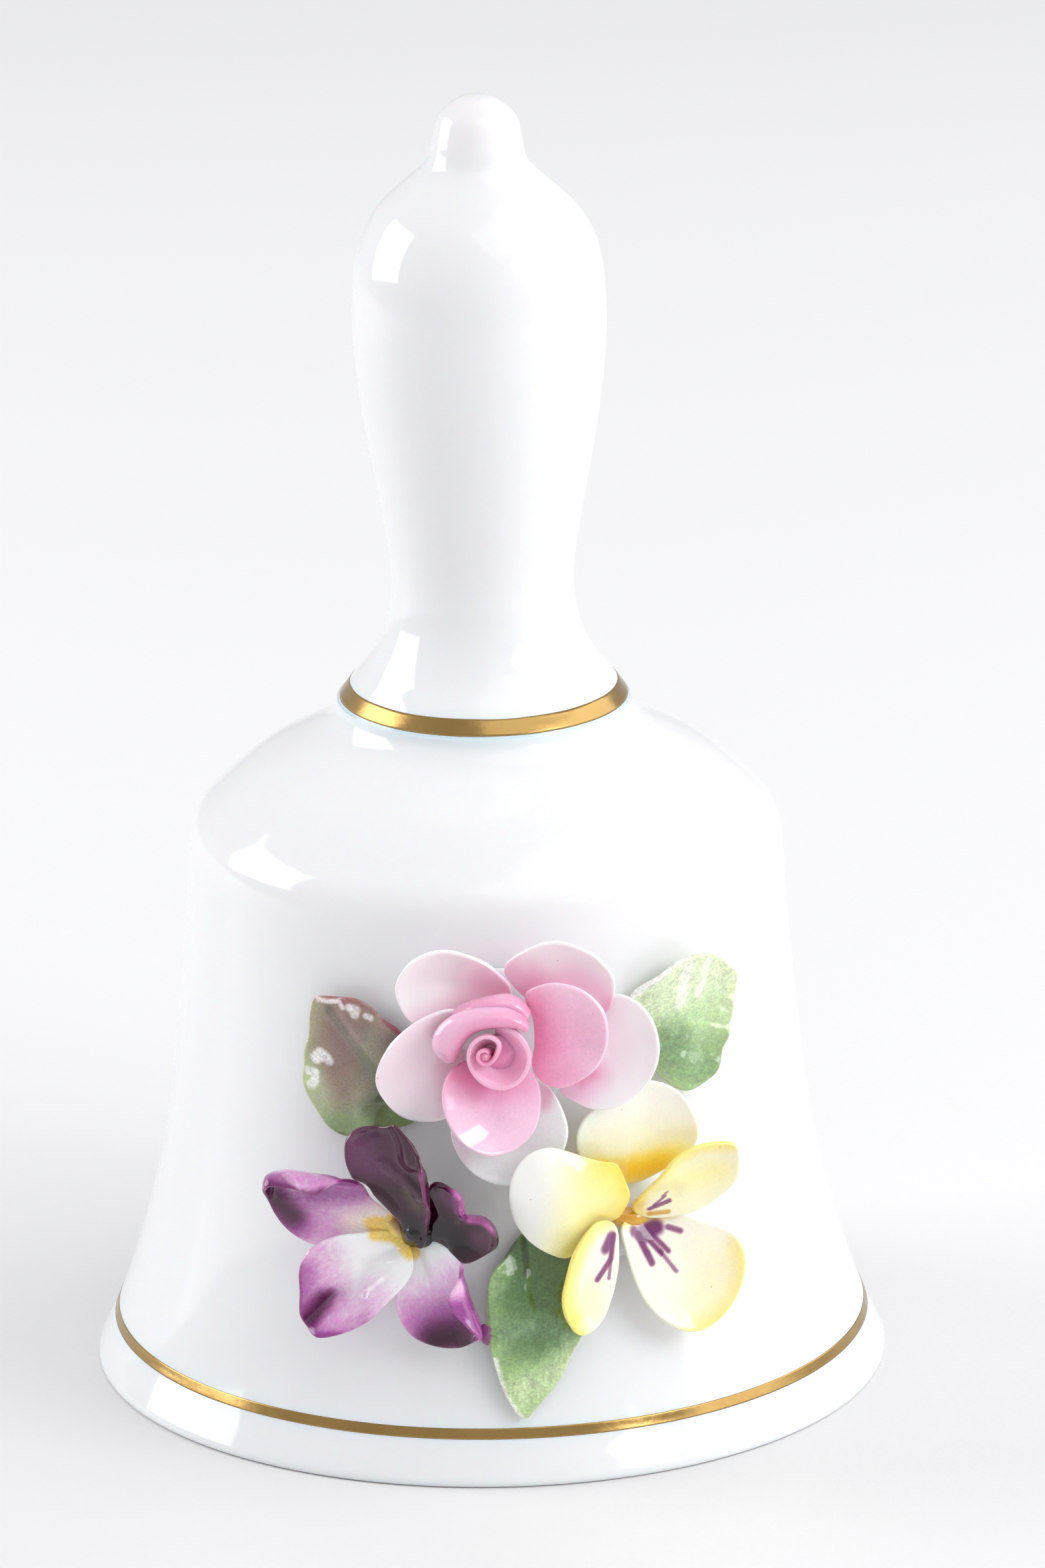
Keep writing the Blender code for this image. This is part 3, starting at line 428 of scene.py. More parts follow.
# Leaves lie on the wall: the azimuth and height of the heart, then as for petals, with depths counted
# from the wall. veins is the midrib, from the base to the tip.
LEAVES = {
    "leaf_left": {
        "wall": (-24.4, 38.5), "heart": (0.0, 0.0, 1.3),
        "edge": [
            (6.3, -4.7, 0.5), (6.5, -1.9, 0.6), (6.0, 1.3, 1.0), (4.9, 3.8, 1.6), (2.7, 5.3, 1.8),
            (0.6, 6.8, 2.0), (-1.8, 6.7, 2.0), (-4.1, 6.5, 2.2), (-4.1, 6.5, 2.2), (-4.6, 3.0, 1.8),
            (-5.2, 0.3, 1.6), (-5.5, -1.9, 1.4), (-4.2, -4.1, 1.4), (-2.5, -5.9, 1.4), (-0.6, -6.8, 1.4),
            (2.6, -6.0, 1.2),
        ],
        "midrib": [(6.0, -4.0), (1.0, 0.2), (-3.9, 6.2)],
        "strokes": [
            ("moss", 0.75, 40.0, [(0.0, 0.0)]),
            ("pale", 0.6, 3.4, [(-4.8, 5.0), (-5.4, 1.0), (-4.9, -2.6)]),
            ("leaf", 0.7, 5.0, [(-2.4, -6.4), (2.0, -6.0), (5.6, -4.8)]),
            ("umber", 0.55, 6.0, [(3.4, 3.0), (-1.4, 5.2), (-2.0, 2.4), (0.4, 0.2)]),
            ("umber", 0.3, 3.0, [(-2.0, -0.6), (-1.0, -3.0)]),
            ("blush", 0.25, 1.6, [(-1.6, 4.6), (0.6, 2.0)]),
            ("black", 0.5, 2.8, [(4.6, 2.6), (3.8, -0.6), (2.2, -3.6)]),
            ("black", 0.35, 1.0, [(-2.4, 5.4), (1.6, 0.4), (4.6, -2.6)]),
            ("sage", 0.3, 2.6, [(2.0, 3.2), (1.2, -0.6)]),
            ("wine", 0.8, 1.2, [(7.0, 0.4), (5.3, 3.9), (3.6, 5.4)]),
            ("wine", 0.3, 1.2, [(2.6, 6.0), (0.6, 6.8), (-4.2, 6.8)]),
            # The white patches below are painted highlights: glints of light on the glaze of the leaf's
            # raised edges, painted in white.
            ("white", 0.8, 0.9, [(-3.9, 0.5), (-3.4, 1.0), (-2.8, 0.7), (-2.4, 0.3)]),
            ("white", 0.8, 0.7, [(-3.8, 0.2), (-3.2, 0.5)]),
            ("white", 0.8, 0.9, [(-4.7, -1.0), (-3.9, -1.1), (-3.9, -1.9), (-4.3, -2.3)]),
            ("white", 0.8, 0.5, [(-3.6, 6.3), (-2.4, 6.2), (-1.2, 6.4), (-0.9, 5.8)]),
            ("white", 0.8, 0.9, [(-0.1, 5.9), (0.4, 5.8), (0.3, 5.3)]),
            ("white", 0.8, 0.6, [(1.4, 5.2), (1.9, 5.0)]),
        ],
    },
    "leaf_right": {
        "wall": (38.5, 41.2), "heart": (0.0, 0.0, 2.0),
        "edge": [
            (-4.3, -3.3, 0.4), (-5.8, 0.6, 0.7), (-6.7, 3.7, 1.6), (-4.1, 5.5, 2.6), (-1.0, 6.9, 3.0),
            (2.1, 6.4, 3.2), (4.8, 3.8, 3.4), (4.8, 3.8, 3.4), (3.9, 1.5, 3.4), (3.1, -1.1, 3.4),
            (2.4, -2.9, 3.2), (1.2, -5.1, 3.0), (-1.9, -6.1, 2.6), (-3.7, -4.9, 2.0),
        ],
        "midrib": [(-4.3, -3.3), (0.0, 1.0), (4.4, 3.9)],
        "strokes": [
            ("pale", 0.8, 40.0, [(0.0, 0.0)]),
            ("straw", 0.7, 6.0, [(-5.7, 2.5), (-1.3, 5.0), (3.0, 4.6)]),
            # These two white streaks in the upper part are painted highlights.
            ("white", 0.5, 1.2, [(-1.0, 6.2), (-1.8, 2.4)]),
            ("white", 0.4, 1.0, [(1.2, 5.8), (0.4, 2.8)]),
            ("leaf", 0.6, 6.0, [(-2.6, -1.8), (-0.6, -5.4), (1.8, -3.6)]),
            ("sage", 0.6, 5.0, [(-2.4, -1.6), (0.0, -4.4)]),
            ("white", 0.8, 0.9, [(-7.1, 3.5), (-4.3, 5.7), (-1.4, 7.2)]),
        ],
    },
    "leaf_bottom": {
        "wall": (6.9, 15.6), "heart": (0.4, 0.0, 1.9),
        "edge": [
            (0.7, 7.2, 1.2), (-0.8, 7.7, 1.2), (-2.5, 5.8, 2.0), (-3.9, 4.0, 2.6), (-4.1, 0.7, 2.4),
            (-3.9, -2.4, 2.2), (-2.7, -7.0, 1.5), (-1.3, -9.6, 1.1), (-1.3, -9.6, 1.1), (-0.3, -8.4, 1.2),
            (1.5, -6.2, 1.4), (2.8, -3.6, 1.7), (3.7, -1.8, 2.0), (5.1, 1.0, 2.4), (5.4, 4.1, 2.6),
            (3.5, 6.3, 2.4),
        ],
        "midrib": [(-0.6, 7.4), (0.2, 1.0), (-1.2, -9.3)],
        "strokes": [
            ("leaf", 0.95, 40.0, [(0.0, 0.0)]),
            ("dark", 0.75, 7.0, [(-1.2, 6.2), (-1.4, 3.2), (1.6, 1.8)]),
            ("olive", 0.75, 5.0, [(2.2, 5.2), (3.4, 2.4), (2.6, 0.6)]),
            ("pale", 0.55, 3.0, [(-3.4, 4.6), (-4.4, 1.2), (-4.2, -2.4)]),
            ("sage", 0.7, 3.6, [(-2.2, -1.0), (1.6, -1.2)]),
            ("dark", 0.5, 3.0, [(-0.8, -2.6), (1.4, -2.8)]),
            ("pale", 0.7, 6.0, [(-2.2, -6.2), (-0.6, -8.4), (2.0, -5.4)]),
            ("straw", 0.5, 3.4, [(-1.4, -6.6), (1.6, -5.0), (3.2, -3.2)]),
            ("white", 0.7, 0.7, [(-3.6, -3.6), (-2.9, -6.8), (-1.6, -9.4)]),
            ("black", 0.5, 0.6, [(-0.8, 7.4), (-0.7, 4.2)]),
            ("black", 0.5, 0.9, [(-2.7, 6.1), (-1.9, 7.0)]),
        ],
    },
}

# Clay pads under the flowers: azimuth, height, half width, half height, rise
PADS = {
    "rose_pad": (2.0, 40.5, 6.5, 8.0, 1.9),
    "purple_pad": (-15.0, 23.5, 5.0, 5.0, 1.9),
    "yellow_pad": (22.0, 25.0, 5.0, 5.0, 1.9),
}

# The rose's bud is one strip rolled inwards: its upper edge, and the axis that it narrows towards
BUD_AXIS = (1.2, 0.1)
BUD_EDGE = [
    (0.6, 3.1, 7.2), (1.5, 3.2, 7.8), (2.5, 2.8, 8.2), (3.4, 1.7, 8.4), (3.75, 0.2, 8.5), (2.9, -1.7, 8.5),
    (1.3, -2.5, 8.5), (-0.5, -1.95, 8.5), (-1.6, -0.6, 8.5), (-1.85, 0.9, 8.5), (-1.3, 2.1, 8.6),
    (-0.1, 2.7, 8.8), (0.95, 2.1, 9.0), (0.75, 1.0, 9.1), (0.2, 0.2, 9.1), (-0.5, 0.05, 9.1),
    (-1.0, 0.5, 9.1), (-0.95, 1.15, 9.1), (-0.45, 1.4, 9.0), (0.0, 1.15, 8.9), (-0.1, 0.75, 8.7),
]
BUD_RIM_SHARE = 0.45
BUD_TOP = 8.6
BUD_LEVELS = [(0.34, 3.4), (0.4, 5.6), (0.6, 6.7), (0.84, 7.6), (0.97, 8.2), (1.0, BUD_TOP)]

# The two petals that wrap the bud: inner edge and outer edge of the lip that shows
WRAPS = {
    "rose_wrap_inner": {
        "inner": [
            (-3.3, -0.5, 5.6), (-3.0, 0.6, 6.4), (-2.5, 1.7, 7.0), (-1.5, 2.8, 7.4), (-0.2, 3.45, 7.8),
            (1.1, 3.65, 8.0), (2.3, 3.6, 8.0), (3.1, 3.3, 7.8), (3.6, 2.9, 7.4),
        ],
        "outer": [
            (-3.9, -0.6, 5.5), (-4.6, 0.3, 6.3), (-4.9, 1.5, 6.8), (-4.2, 3.0, 7.0), (-2.5, 4.2, 7.2),
            (-0.3, 4.75, 7.4), (1.7, 4.7, 7.4), (3.0, 4.0, 7.3), (3.7, 3.2, 7.2),
        ],
        "foot": 2.6,
    },
    "rose_wrap_outer": {
        "inner": [
            (-3.4, 3.0, 5.0), (-1.9, 4.1, 6.0), (-0.6, 4.5, 6.5), (0.5, 4.7, 6.6), (1.7, 4.7, 6.5),
            (2.7, 4.3, 6.4), (3.5, 3.5, 6.2),
        ],
        "outer": [
            (-3.3, 3.6, 4.8), (-1.8, 4.7, 5.8), (-0.6, 5.2, 6.2), (0.5, 5.5, 6.3), (1.8, 5.55, 6.2),
            (3.0, 5.0, 6.1), (3.8, 3.9, 6.0),
        ],
        "foot": 3.6,
    },
}

# Small lumps of clay in the flowers: node, slot, enamel, middle, half sizes across and up,
# levels of the foot and the top, and strokes
LUMPS = {
    "purple_eye_china": (
        "purple_eye", "flower_eye", "eye", (0.3, 0.2), (1.5, 1.1), (2.7, 3.5),
        [("yolk", 0.65, 20.0, [(0.3, 0.1)]), ("aubergine", 1.0, 2.4, [(0.8, 1.4), (1.8, 0.4)])],
    ),
    "purple_eye_lobe_china": (
        "purple_eye", "flower_eye", "purple", (2.1, 0.3), (1.7, 1.7), (3.0, 4.7),
        [("night", 1.0, 40.0, [(2.1, 0.3)])],
    ),
    "purple_petal_tip_china": (
        "purple_petal_low_right", "violet_china", "purple", (9.15, -8.7), (0.3, 1.2), (5.2, 5.9),
        [("plum", 0.95, 40.0, [(9.1, -8.7)])],
    ),
    "yellow_throat_china": (
        "yellow_throat", "flower_eye", "eye", (0.9, -0.2), (2.2, 0.9), (2.6, 3.4),
        [("yolk", 0.8, 40.0, [(0.3, 0.1)]), ("ochre", 0.75, 1.8, [(-0.6, 0.1), (2.4, 0.3)])],
    ),
    "rose_bud_core_china": (
        "rose_bud", "pink_china", "rose", (1.0, 0.2), (2.2, 2.0), (6.2, 7.1),
        [("pink", 0.8, 40.0, [(1.0, 0.2)]), ("rose", 0.5, 3.0, [(0.8, 0.6)])],
    ),
    "rose_bud_middle_china": (
        "rose_bud", "pink_china", "rose", (-0.35, 0.7), (0.5, 0.5), (8.2, 8.8),
        [("rose", 0.65, 40.0, [(1.0, 0.2)])],
    ),
}

# ---------------------------------------------------------------------------------------------- curves


def spline(stations, steps, closed=False):
    """Points on a centripetal Catmull-Rom curve. A station given twice makes a corner."""
    points = np.array(stations, dtype=float)
    if closed:
        padded = np.vstack([points[-1:], points, points[:2]])
    else:
        padded = np.vstack([2 * points[0] - points[1], points, 2 * points[-1] - points[-2]])
    curve = []
    for before, start, end, after in zip(padded, padded[1:], padded[2:], padded[3:]):
        if np.allclose(start, end):
            continue
        sides = (start - before, end - start, after - end)
        knots = np.cumsum([0.0] + [max(np.linalg.norm(side) ** 0.5, 0.001) for side in sides])
        for step in range(steps):
            t = knots[1] + (knots[2] - knots[1]) * step / steps
            level = [before, start, end, after]
            for width in (1, 2):
                level = [
                    level[i] + (level[i + 1] - level[i])
                    * (t - knots[i]) / (knots[i + width] - knots[i]) for i in range(4 - width)
                ]
            share = (t - knots[1]) / (knots[2] - knots[1])
            curve.append(level[0] + (level[1] - level[0]) * share)
    if not closed:
        curve.append(points[-1])
    return np.array(curve)


def evenly(curve, count, closed=False):
    """That many points at equal distances along a curve."""
    loop = np.vstack([curve, curve[:1]]) if closed else curve
    lengths = np.concatenate([[0.0], np.cumsum(np.linalg.norm(np.diff(loop, axis=0), axis=1))])
    wanted = np.linspace(0.0, lengths[-1], count, endpoint=not closed)
    return np.stack([np.interp(wanted, lengths, loop[:, axis]) for axis in range(loop.shape[1])], axis=1)


def smooth_step(value):
    """Eases from 0 to 1."""
    value = np.clip(value, 0.0, 1.0)
    return value * value * (3.0 - 2.0 * value)


def path_distance(points, path):
    """Distance from each (x, y) point to a path of straight pieces."""
    path = np.array(path, dtype=float)
    nearest = np.linalg.norm(points - path[0], axis=1)
    for start, end in zip(path, path[1:]):
        along = end - start
        share = np.clip((points - start) @ along / (along @ along), 0.0, 1.0)
        nearest = np.minimum(nearest, np.linalg.norm(points - (start + share[:, None] * along), axis=1))
    return nearest


# ---------------------------------------------------------------------------------------------- frames


class FlowerFrame:
    """Turns (across, up, out) of a flower into the bell's own millimetres."""

    def __init__(self, flower):
        azimuth, height, radius = FLOWERS[flower]
        turn = math.radians(azimuth)
        out = np.array([math.sin(turn), -math.cos(turn), 0.0])
        self.axes = np.array([[math.cos(turn), math.sin(turn), 0.0], [0.0, 0.0, 1.0], out])
        self.origin = out * radius + np.array([0.0, 0.0, height])

    def to_bell(self, local):
        return local @ self.axes + self.origin


class WallFrame:
    """The same for pieces that lie on the wall, where out is the height over it."""

    def __init__(self, azimuth, height):
        self.azimuth = math.radians(azimuth)
        self.height = height
        profile = spline(SHELL_OUTSIDE, 4)[::-1]
        self.wall = lambda level: np.interp(level, profile[:, 1], profile[:, 0])

    def to_bell(self, local):
        turn = self.azimuth + local[:, 0] / WALL_SCALE
        level = self.height + local[:, 1]
        radius = self.wall(level) + local[:, 2]
        return np.stack([radius * np.sin(turn), -radius * np.cos(turn), level], axis=1)


# ---------------------------------------------------------------------------------------------- meshes


def mesh_from(name, points, faces):
    """A mesh in metres with its faces turned out."""
    mesh = bpy.data.meshes.new(name)
    mesh.from_pydata((np.asarray(points) * MM).tolist(), [], faces)
    work = bmesh.new()
    work.from_mesh(mesh)
    bmesh.ops.recalc_face_normals(work, faces=work.faces)
    work.to_mesh(mesh)
    work.free()
    mesh.shade_smooth()
    return mesh


def place(name, mesh, material, slot, body, *nodes):
    """Puts a finished piece in the scene, riding a body and standing for CAD nodes."""
    mesh.materials.append(material)
    piece = bpy.data.objects.new(name, mesh)
    bpy.context.collection.objects.link(piece)
    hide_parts(*nodes)
    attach(piece, body)
    return piece


def turned(name, profile, closed, wobble=None):
    """Turns a profile of (radius, height) about +Z. wobble(turn, height) shifts its points up."""
    profile = np.asarray(profile, dtype=float)
    rings, points = [], []
    for radius, height in profile:
        if radius < 0.001:
            rings.append([len(points)])
            points.append((0.0, 0.0, height))
            continue
        rings.append(list(range(len(points), len(points) + AROUND)))
        for step in range(AROUND):
            turn = 2 * math.pi * step / AROUND
            shift = wobble(turn, height) if wobble else 0.0
            points.append((radius * math.sin(turn), -radius * math.cos(turn), height + shift))
    faces = []
    pairs = list(zip(rings, rings[1:]))
    if closed:
        pairs.append((rings[-1], rings[0]))
    for upper, lower in pairs:
        for step in range(AROUND):
            after = (step + 1) % AROUND
            corners = [upper[step % len(upper)], lower[step % len(lower)],
                       lower[after % len(lower)], upper[after % len(upper)]]
            faces.append(tuple(dict.fromkeys(corners)))
    return mesh_from(name, points, faces)


def grid_faces(rows, columns):
    """The squares of a grid whose points are counted along its rows."""
    corners = [row * columns + col for row in range(rows - 1) for col in range(columns - 1)]
    return [(at, at + 1, at + columns + 1, at + columns) for at in corners]


def thickened(name, points, faces, thickness, weights, unrolled, levels=2):
    """A sheet made solid, thinner where its weights are low, with its rim rounded by subdivision.
    unrolled is each point's place on the flat sheet, which the finished mesh keeps for the paint."""
    mesh = mesh_from(name, points, faces)
    places = mesh.attributes.new("marks", "FLOAT_VECTOR", "POINT")
    places.data.foreach_set("vector", np.column_stack([unrolled, np.zeros(len(unrolled))]).ravel())
    work = bpy.data.objects.new(name + "_work", mesh)
    bpy.context.collection.objects.link(work)
    group = work.vertex_groups.new(name="thickness")
    for index, weight in enumerate(weights):
        group.add([index], float(weight), "REPLACE")
    solid = work.modifiers.new("Solid", "SOLIDIFY")
    solid.thickness = thickness * MM
    solid.offset = 0.0
    solid.vertex_group = "thickness"
    smooth = work.modifiers.new("Smooth", "SUBSURF")
    smooth.levels = levels
    smooth.render_levels = levels
    evaluated = work.evaluated_get(bpy.context.evaluated_depsgraph_get())
    finished = bpy.data.meshes.new_from_object(evaluated)
    finished.name = name
    bpy.data.objects.remove(work, do_unlink=True)
    bpy.data.meshes.remove(mesh)
    finished.shade_smooth()
    return finished


def disc_grid(cells):
    """(share of the reach, turn) of a square grid pressed into a disc, so that it has no pole."""
    ticks = np.linspace(-1.0, 1.0, cells + 1)
    x, y = np.meshgrid(ticks, ticks)
    u, v = x * np.sqrt(1 - y ** 2 / 2), y * np.sqrt(1 - x ** 2 / 2)
    return np.hypot(u, v).ravel(), np.arctan2(v, u).ravel()


def petal_sheet(petal, cells=SHEET_CELLS):
    """Points of a dished petal over its heart, with curls, creases, a ruffle and a hand's unevenness."""
    heart = np.array(petal["heart"])
    rim = evenly(spline(petal["edge"], 10, closed=True), 240, closed=True)
    reach = rim[:, :2] - heart[:2]
    length = np.linalg.norm(reach, axis=1)
    angle = np.unwrap(np.arctan2(reach[:, 1], reach[:, 0]))
    if angle[-1] < angle[0]:
        angle, length, rim = angle[::-1], length[::-1], rim[::-1]
    share, turn = disc_grid(cells)
    turn = angle[0] + (turn - angle[0]) % (2 * math.pi)
    edge_length = np.interp(turn, angle, length, period=2 * math.pi)
    edge_out = np.interp(turn, angle, rim[:, 2], period=2 * math.pi)

    bend, band = np.full(turn.shape, 0.001), np.zeros(turn.shape)
    for direction, spread, degrees, width in petal.get("curls", ()):
        off = (np.degrees(turn) - direction + 180.0) % 360.0 - 180.0
        part = smooth_step(1.5 * (1.0 - np.abs(off) / spread))
        bend = np.maximum(bend, math.radians(degrees) * part)
        band = np.maximum(band, width * part)
    seen = np.where(bend < math.pi / 2, np.sin(bend), 1.0) / bend
    start = edge_length - band * seen
    run = share * (start + band)
    past = np.maximum(run - start, 0.0)
    radius = np.maximum(band / bend, 1e-6)
    radial = np.minimum(run, start) + np.where(past > 0, radius * np.sin(past / radius), 0.0)
    lift = np.where(past > 0, radius * (1.0 - np.cos(past / radius)), 0.0)

    out = heart[2] + (edge_out - heart[2]) * share ** 1.7 + lift
    height, waves, phase = petal.get("ruffle", (0.12, 3, 20.0))
    out += height * np.sin(waves * turn + math.radians(phase)) * share ** 3
    direction = np.stack([np.cos(turn), np.sin(turn)], axis=1)
    flat = heart[:2] + radial[:, None] * direction
    for path, width, rise in petal.get("creases", ()):
        out += rise * np.exp(-(path_distance(flat, path) / width) ** 2)
    seed = sum(ord(letter) for letter in str(petal["heart"]))
    out += [UNEVENNESS * share_here * noise.noise(Vector((x * 0.3, y * 0.3, seed)))
            for x, y, share_here in zip(flat[:, 0], flat[:, 1], share)]
    return np.column_stack([flat, out]), share, heart[:2] + run[:, None] * direction


# ---------------------------------------------------------------------------------------------- paint


def brush(mesh, strokes, base, tip):
    """Lays the strokes on a mesh as point attributes: tint, how thickly it is painted, and the place
    across and along the petal, which the enamel uses for the marks of the brush. A tint is a display
    colour, so that thin paint over white looks as enamel does."""
    count = len(mesh.vertices)
    places = mesh.attributes["marks"]
    marks = np.empty(count * 3)
    places.data.foreach_get("vector", marks)
    flat = marks.reshape(-1, 3)[:, :2]
    tint, cover = np.zeros((count, 3)), np.zeros(count)
    for paint, strength, width, path in strokes:
        reach = width * 0.75
        soft = 0.65 if width < 1.6 else 1.0
        part = strength * smooth_step((1.0 - path_distance(flat, path) / reach) / soft)
        tint = tint * (1.0 - part[:, None]) + np.array(PAINTS[paint]) / 255.0 * part[:, None]
        cover = cover + part * (1.0 - cover)
    tint /= np.maximum(cover, 1e-4)[:, None]
    along = np.array(tip[:2]) - np.array(base[:2])
    along /= np.linalg.norm(along)
    marks = np.column_stack([flat @ np.array([-along[1], along[0]]), flat @ along, np.zeros(count)])
    places.data.foreach_set("vector", marks.ravel())

    colour = mesh.attributes.new("tint", "FLOAT_COLOR", "POINT")
    colour.data.foreach_set("color", np.column_stack([tint, np.ones(count)]).ravel())
    paint_cover = mesh.attributes.new("cover", "FLOAT", "POINT")
    paint_cover.data.foreach_set("value", cover)


# ------------------------------------------------------------------------------------------- materials


class Nodes:
    """A short way to write a material's node graph."""

    def __init__(self, name):
        self.material = bpy.data.materials.new(name)
        self.material.use_nodes = True
        self.tree = self.material.node_tree
        self.shader = self.tree.nodes["Principled BSDF"]

    def add(self, kind, inputs=(), **settings):
        node = self.tree.nodes.new(kind)
        for key, value in settings.items():
            setattr(node, key, value)
        for key, value in dict(inputs).items():
            self.feed(node.inputs[key], value)
        return node

    def feed(self, socket, value):
        if isinstance(value, bpy.types.NodeSocket):
            self.tree.links.new(value, socket)
        else:
            socket.default_value = value

    def math(self, operation, *values):
        return self.add("ShaderNodeMath", enumerate(values), operation=operation).outputs[0]

    def mix(self, factor, first, second):
        node = self.add("ShaderNodeMix", data_type="RGBA")
        for index, value in ((0, factor), (6, first), (7, second)):
            self.feed(node.inputs[index], value)
        return node.outputs[2]

    def noise(self, place_socket, scale, detail=2.0, rough=0.5):
        return self.add("ShaderNodeTexNoise", {
            "Vector": place_socket, "Scale": scale, "Detail": detail, "Roughness": rough,
        }).outputs["Fac"]

    def ramp(self, value, stops):
        node = self.add("ShaderNodeValToRGB", {"Fac": value})
        ramp = node.color_ramp
        for (place_at, grey), element in zip(stops, ramp.elements):
            element.position = place_at
            element.color = (grey, grey, grey, 1.0)
        return node.outputs["Color"]

    def object_place(self):
        return self.add("ShaderNodeTexCoord").outputs["Object"]

    def bump(self, height, strength, distance):
        node = self.add("ShaderNodeBump", {"Height": height, "Strength": strength, "Distance": distance})
        self.tree.links.new(node.outputs["Normal"], self.shader.inputs["Normal"])

    def set(self, **values):
        for key, value in values.items():
            self.feed(self.shader.inputs[key.replace("_", " ")], value)


CHINA = (0.82, 0.82, 0.835, 1.0)
CHINA_SHOWN = (0.95, 0.95, 0.955, 1.0)
DISPLAY_GAMMA = 2.2


def china(name, specks=True):
    """White bone china under a clear glaze, with the odd iron speck and a gentle swell in the glaze."""
    nodes = Nodes(name)
    at = nodes.object_place()
    cloud = nodes.noise(at, 60.0)
    white = nodes.mix(cloud, CHINA, (0.8, 0.803, 0.82, 1.0))
    if specks:
        cells = nodes.add("ShaderNodeTexVoronoi", {"Vector": at, "Scale": 70.0, "Randomness": 1.0})
        speck = nodes.ramp(cells.outputs["Distance"], ((0.010, 1.0), (0.016, 0.0)))
        rare = nodes.ramp(cells.outputs["Color"], ((0.80, 0.0), (0.84, 1.0)))
        white = nodes.mix(nodes.math("MULTIPLY", speck, rare), white, (0.38, 0.3, 0.24, 1.0))
    nodes.set(Base_Color=white, Roughness=0.07, IOR=1.5, Subsurface_Weight=0.4, Subsurface_Scale=0.0025)
    nodes.bump(nodes.noise(at, 110.0, 1.0), 0.08, 0.0006)
    return nodes.material


def painted(name, depth=0.3, coat=0.8, bump=0.12, grain=0.1):
    """Brushed enamel over white china, under glaze. It is mottled where it is thin, and grain is how
    much its fine powder shows."""
    nodes = Nodes(name)
    marks = nodes.add("ShaderNodeAttribute", attribute_name="marks").outputs["Vector"]
    tint = nodes.add("ShaderNodeAttribute", attribute_name="tint").outputs["Color"]
    cover = nodes.add("ShaderNodeAttribute", attribute_name="cover").outputs["Fac"]
    stretched = nodes.add("ShaderNodeMapping", {"Vector": marks, "Scale": (4.0, 0.8, 0.8)}).outputs[0]
    streaks = nodes.math("MULTIPLY", nodes.noise(stretched, 1.0, 3.0, 0.6), 0.35)
    mottle = nodes.math("MULTIPLY", nodes.noise(marks, 1.4, 5.0, 0.7), 0.65)
    uneven = nodes.math("ADD", streaks, mottle)
    thin = nodes.math("MULTIPLY", cover, nodes.math("SUBTRACT", 1.0, cover))
    swing = nodes.math("MULTIPLY", nodes.math("SUBTRACT", uneven, 0.5), depth * 8.0)
    shifted = nodes.math("ADD", cover, nodes.math("MULTIPLY", swing, thin))
    clamped = nodes.add("ShaderNodeClamp", {"Value": shifted}).outputs[0]
    powder = nodes.math("SUBTRACT", nodes.noise(marks, 4.5, 3.0), 0.5)
    patches = nodes.math("MULTIPLY_ADD", nodes.math("SUBTRACT", uneven, 0.5), depth, 1.0)
    fired = nodes.math("MULTIPLY_ADD", powder, grain, patches)
    varied = nodes.add("ShaderNodeHueSaturation", {"Color": tint, "Value": fired}).outputs[0]
    shown = nodes.mix(clamped, CHINA_SHOWN, varied)
    cells = nodes.add("ShaderNodeTexVoronoi", {"Vector": marks, "Scale": 0.55})
    speck = nodes.ramp(cells.outputs["Distance"], ((0.03, 1.0), (0.05, 0.0)))
    rare = nodes.ramp(cells.outputs["Color"], ((0.55, 0.0), (0.6, 1.0)))
    shown = nodes.mix(nodes.math("MULTIPLY", speck, rare), shown, (0.5, 0.42, 0.4, 1.0))
    colour = nodes.add("ShaderNodeGamma", {"Color": shown, "Gamma": DISPLAY_GAMMA}).outputs[0]
    nodes.set(Base_Color=colour, Roughness=0.09, IOR=1.45, Coat_Weight=coat, Coat_Roughness=0.03)
    nodes.set(Subsurface_Weight=0.4, Subsurface_Scale=0.0012)
    nodes.bump(nodes.noise(marks, 0.5, 1.0), bump, 0.0006)
    return nodes.material


def gilt(name):
    """Burnished gold film, a little worn and uneven from the bander's brush."""
    nodes = Nodes(name)
    at = nodes.object_place()
    fine = nodes.noise(at, 900.0, 3.0, 0.6)
    broad = nodes.noise(at, 140.0)
    colour = nodes.mix(broad, (0.3, 0.18, 0.055, 1.0), (0.5, 0.33, 0.12, 1.0))
    rough = nodes.add("ShaderNodeMapRange", {"Value": fine, "To Min": 0.12, "To Max": 0.3}).outputs[0]
    nodes.set(Base_Color=colour, Metallic=1.0, Roughness=rough)
    nodes.bump(fine, 0.15, 0.0001)
    return nodes.material


def plaster(name):
    """Matt plaster of Paris."""
    nodes = Nodes(name)
    at = nodes.object_place()
    grain = nodes.noise(at, 700.0, 5.0, 0.65)
    colour = nodes.mix(grain, (0.62, 0.6, 0.55, 1.0), (0.76, 0.74, 0.7, 1.0))
    nodes.set(Base_Color=colour, Roughness=0.85)
    nodes.bump(grain, 0.5, 0.0003)
    return nodes.material


def wire(name):
    """Drawn brass wire, dulled unevenly."""
    nodes = Nodes(name)
    at = nodes.object_place()
    tarnish = nodes.noise(at, 260.0, 4.0, 0.6)
    colour = nodes.mix(tarnish, (0.5, 0.35, 0.14, 1.0), (0.72, 0.56, 0.28, 1.0))
    rough = nodes.add("ShaderNodeMapRange", {"Value": tarnish, "To Min": 0.25, "To Max": 0.5}).outputs[0]
    nodes.set(Base_Color=colour, Metallic=1.0, Roughness=rough)
    nodes.bump(nodes.noise(at, 1500.0), 0.2, 0.0001)
    return nodes.material


